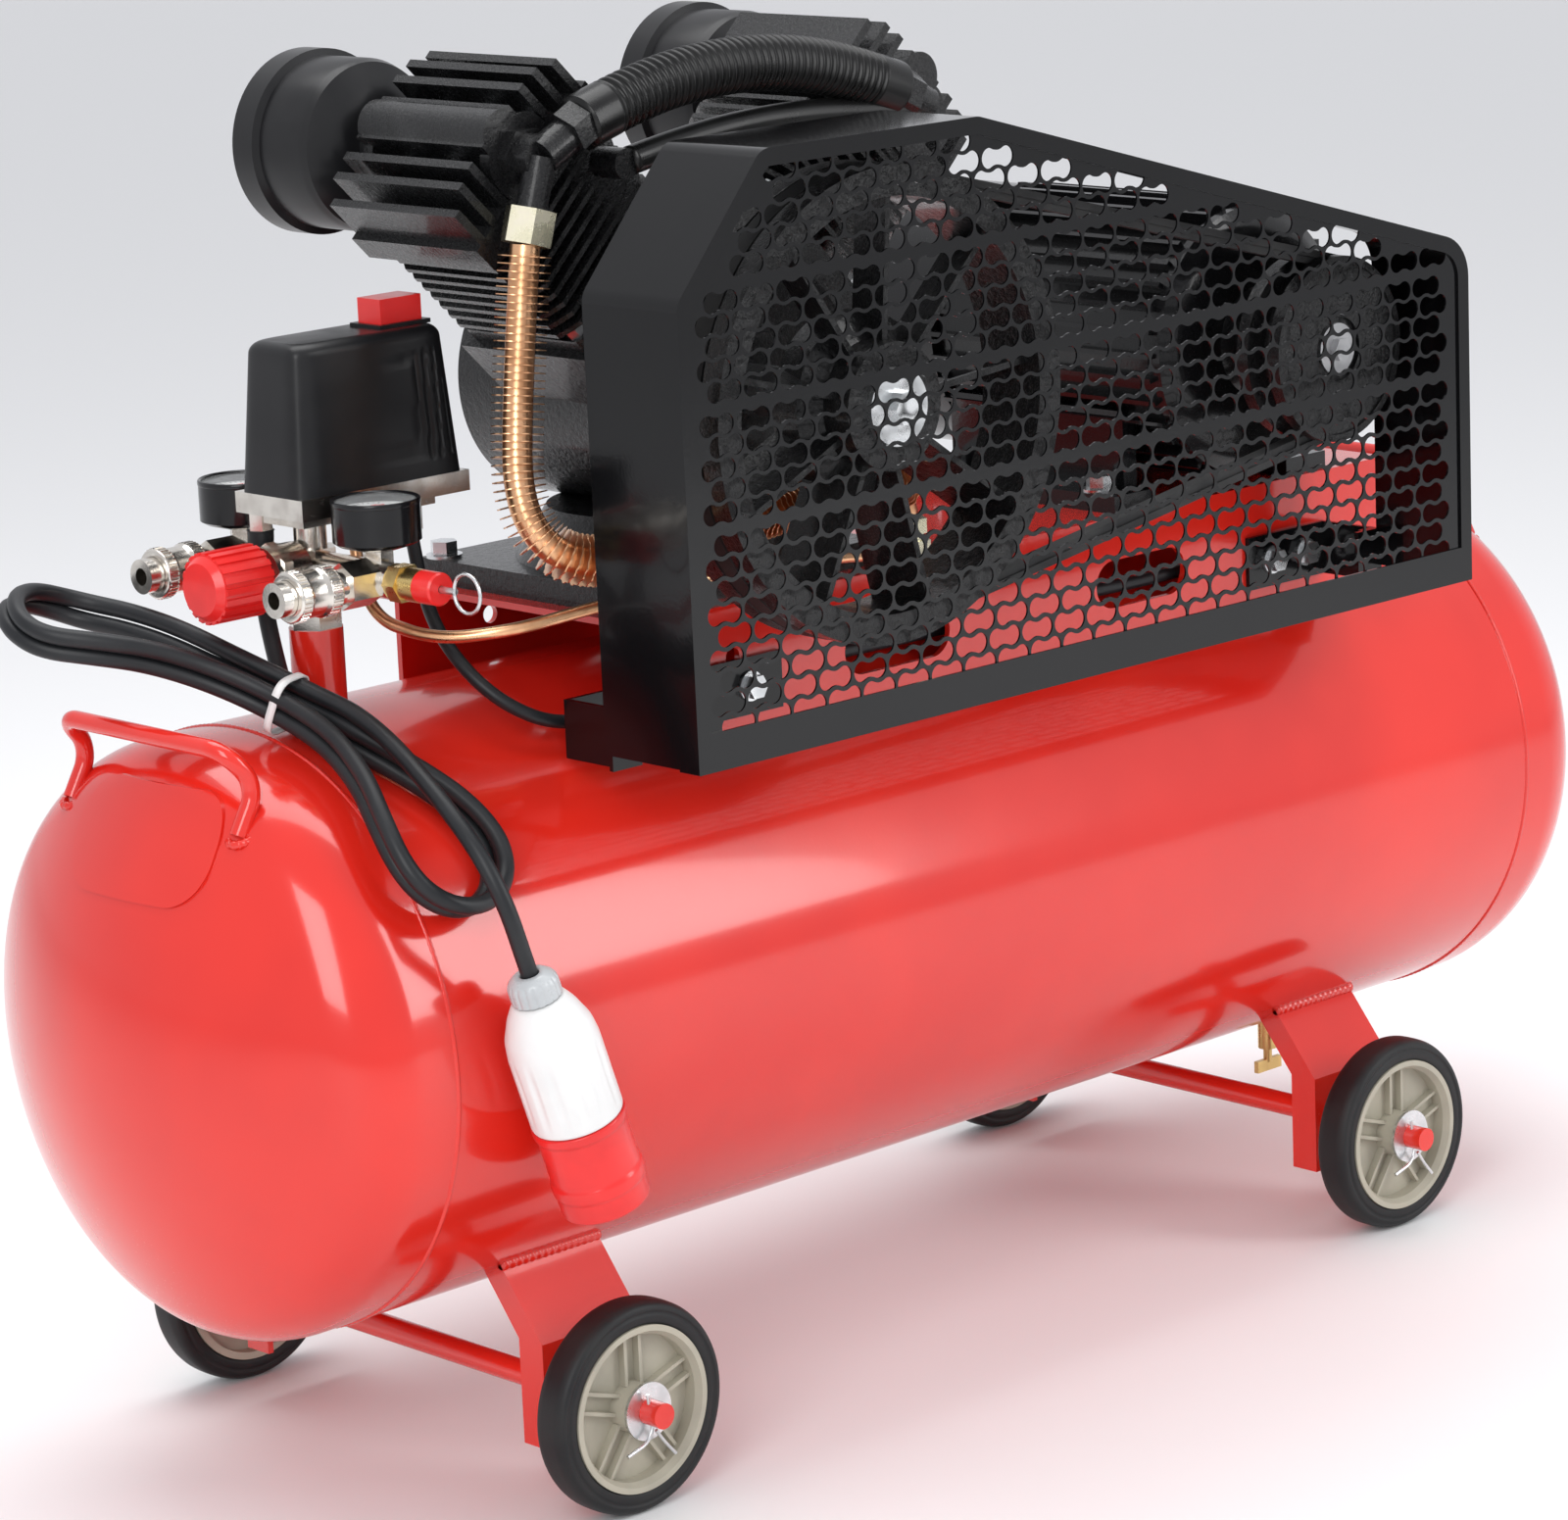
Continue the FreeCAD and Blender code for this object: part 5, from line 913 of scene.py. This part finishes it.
SLEEVE = np.array([(10.1, 0), (13.6, 0), (14.4, 1), (14.4, 2), (14.4, 6.5), (14.4, 7.6), (13.2, 9),
                   (13.2, 19), (14.4, 21), (14.4, 22.2), (14.4, 28), (14.4, 29), (13.6, 30),
                   (10.1, 30)]) * MM
for word in ("left", "right"):
    low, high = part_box(f"coupler_sleeve_{word}")
    centre = (low.x, (low.y + high.y) / 2, (low.z + high.z) / 2)
    sleeve = lathe(f"knurled_sleeve_{word}", soften(SLEEVE, 0.4 * MM, 2), centre, ALONG, 216, knurl)
    crisp(dress(sleeve, NICKEL), 45)
    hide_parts(f"coupler_sleeve_{word}")
    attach(sleeve, f"sleeve_{word}")


# %% [markdown]
# ## Oil cap and sight glass
# Oil goes in through a red screw cap in the valley between the cylinders, and its level shows in a round
# window low on the crankcase.

# %% Cap and glass
def cap_ripple(radius, height, angle):
    """Ten lobes for the fingers on the cap's wide part."""
    return 0.9 * MM * np.cos(10 * angle) * (radius > 10 * MM)


CAP = np.array([(0, 0), (11.5, 0), (11.5, 9), (9, 12), (4, 12), (4, 17), (0, 17)]) * MM
cap_profile = soften(CAP, 1.4 * MM)
oil_cap = dress(lathe("oil_cap", cap_profile, shifted([(-128, 50, 706)])[0], (0, 0, 1), 120, cap_ripple),
                RED_PLASTIC)
glass_profile = soften(np.array([(0, 0), (12, 0), (12, 3), (8, 3.4), (8, 1.6), (0, 1.6)]) * MM, 0.6 * MM)
sight = dress(lathe("sight_glass", glass_profile, shifted([(-105, -103, 556.5)])[0], (0, -1, 0), 72),
              RED_PLASTIC)
valve_cap_profile = np.array([(8.55, 0), (9.4, 0), (9.4, 14.4), (8.4, 15.6), (2.3, 15.6), (2.3, 15.15),
                              (8.55, 15.15)])
cap_place = shifted([(-404, -97.5, 535)])[0]
valve_cap = lathe("relief_valve_cap", valve_cap_profile * MM, cap_place, (0, -1, 0), 60)
crisp(dress(valve_cap, RED_PLASTIC))
for piece in (oil_cap, sight, valve_cap):
    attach(piece, "frame")


# %% [markdown]
# ## The studio
# A pale floor and a white surround, with three large soft lamps. Long lamps matter most here: the drum's
# gloss shows them as clean bands that describe its roundness.

# %% Floor, light and surround
floor_mesh = bpy.data.meshes.new("floor")
FLOOR = 12.0
floor_mesh.from_pydata([(-FLOOR, -FLOOR, 0), (FLOOR, -FLOOR, 0), (FLOOR, FLOOR, 0), (-FLOOR, FLOOR, 0)], [],
                       [(0, 1, 2, 3)])
floor = bpy.data.objects.new("floor", floor_mesh)
bpy.context.scene.collection.objects.link(floor)
floor_mix = Recipe("floor_paint")
dress(floor, floor_mix.give(Base_Color=(0.86, 0.86, 0.86), Roughness=0.6))
floor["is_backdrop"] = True

world = bpy.data.worlds.new("surround")
world.use_nodes = True
world.node_tree.nodes["Background"].inputs["Color"].default_value = (0.95, 0.96, 1.0, 1)
world.node_tree.nodes["Background"].inputs["Strength"].default_value = 0.8
bpy.context.scene.world = world


def soft_lamp(name, at, aim, size, power):
    """A large rectangular lamp that looks at a point."""
    data = bpy.data.lights.new(name, "AREA")
    data.shape = "RECTANGLE"
    data.size, data.size_y = size
    data.energy = power
    lamp = bpy.data.objects.new(name, data)
    bpy.context.scene.collection.objects.link(lamp)
    lamp.location = at
    lamp.rotation_euler = (Vector(aim) - Vector(at)).to_track_quat("-Z", "Y").to_euler()
    return lamp


soft_lamp("front_left", (-2.6, -1.6, 1.9), (0, 0, 0.4), (1.2, 2.2), 42)
soft_lamp("front_right", (1.6, -2.6, 1.6), (0.1, 0, 0.4), (1.0, 2.0), 34)
soft_lamp("overhead", (0.2, 0.4, 2.8), (0, 0, 0.5), (2.6, 1.6), 44)
bpy.context.scene.view_settings.view_transform = "Standard"

# %% Find the sizes
bpy.context.view_layer.update()
low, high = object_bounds()
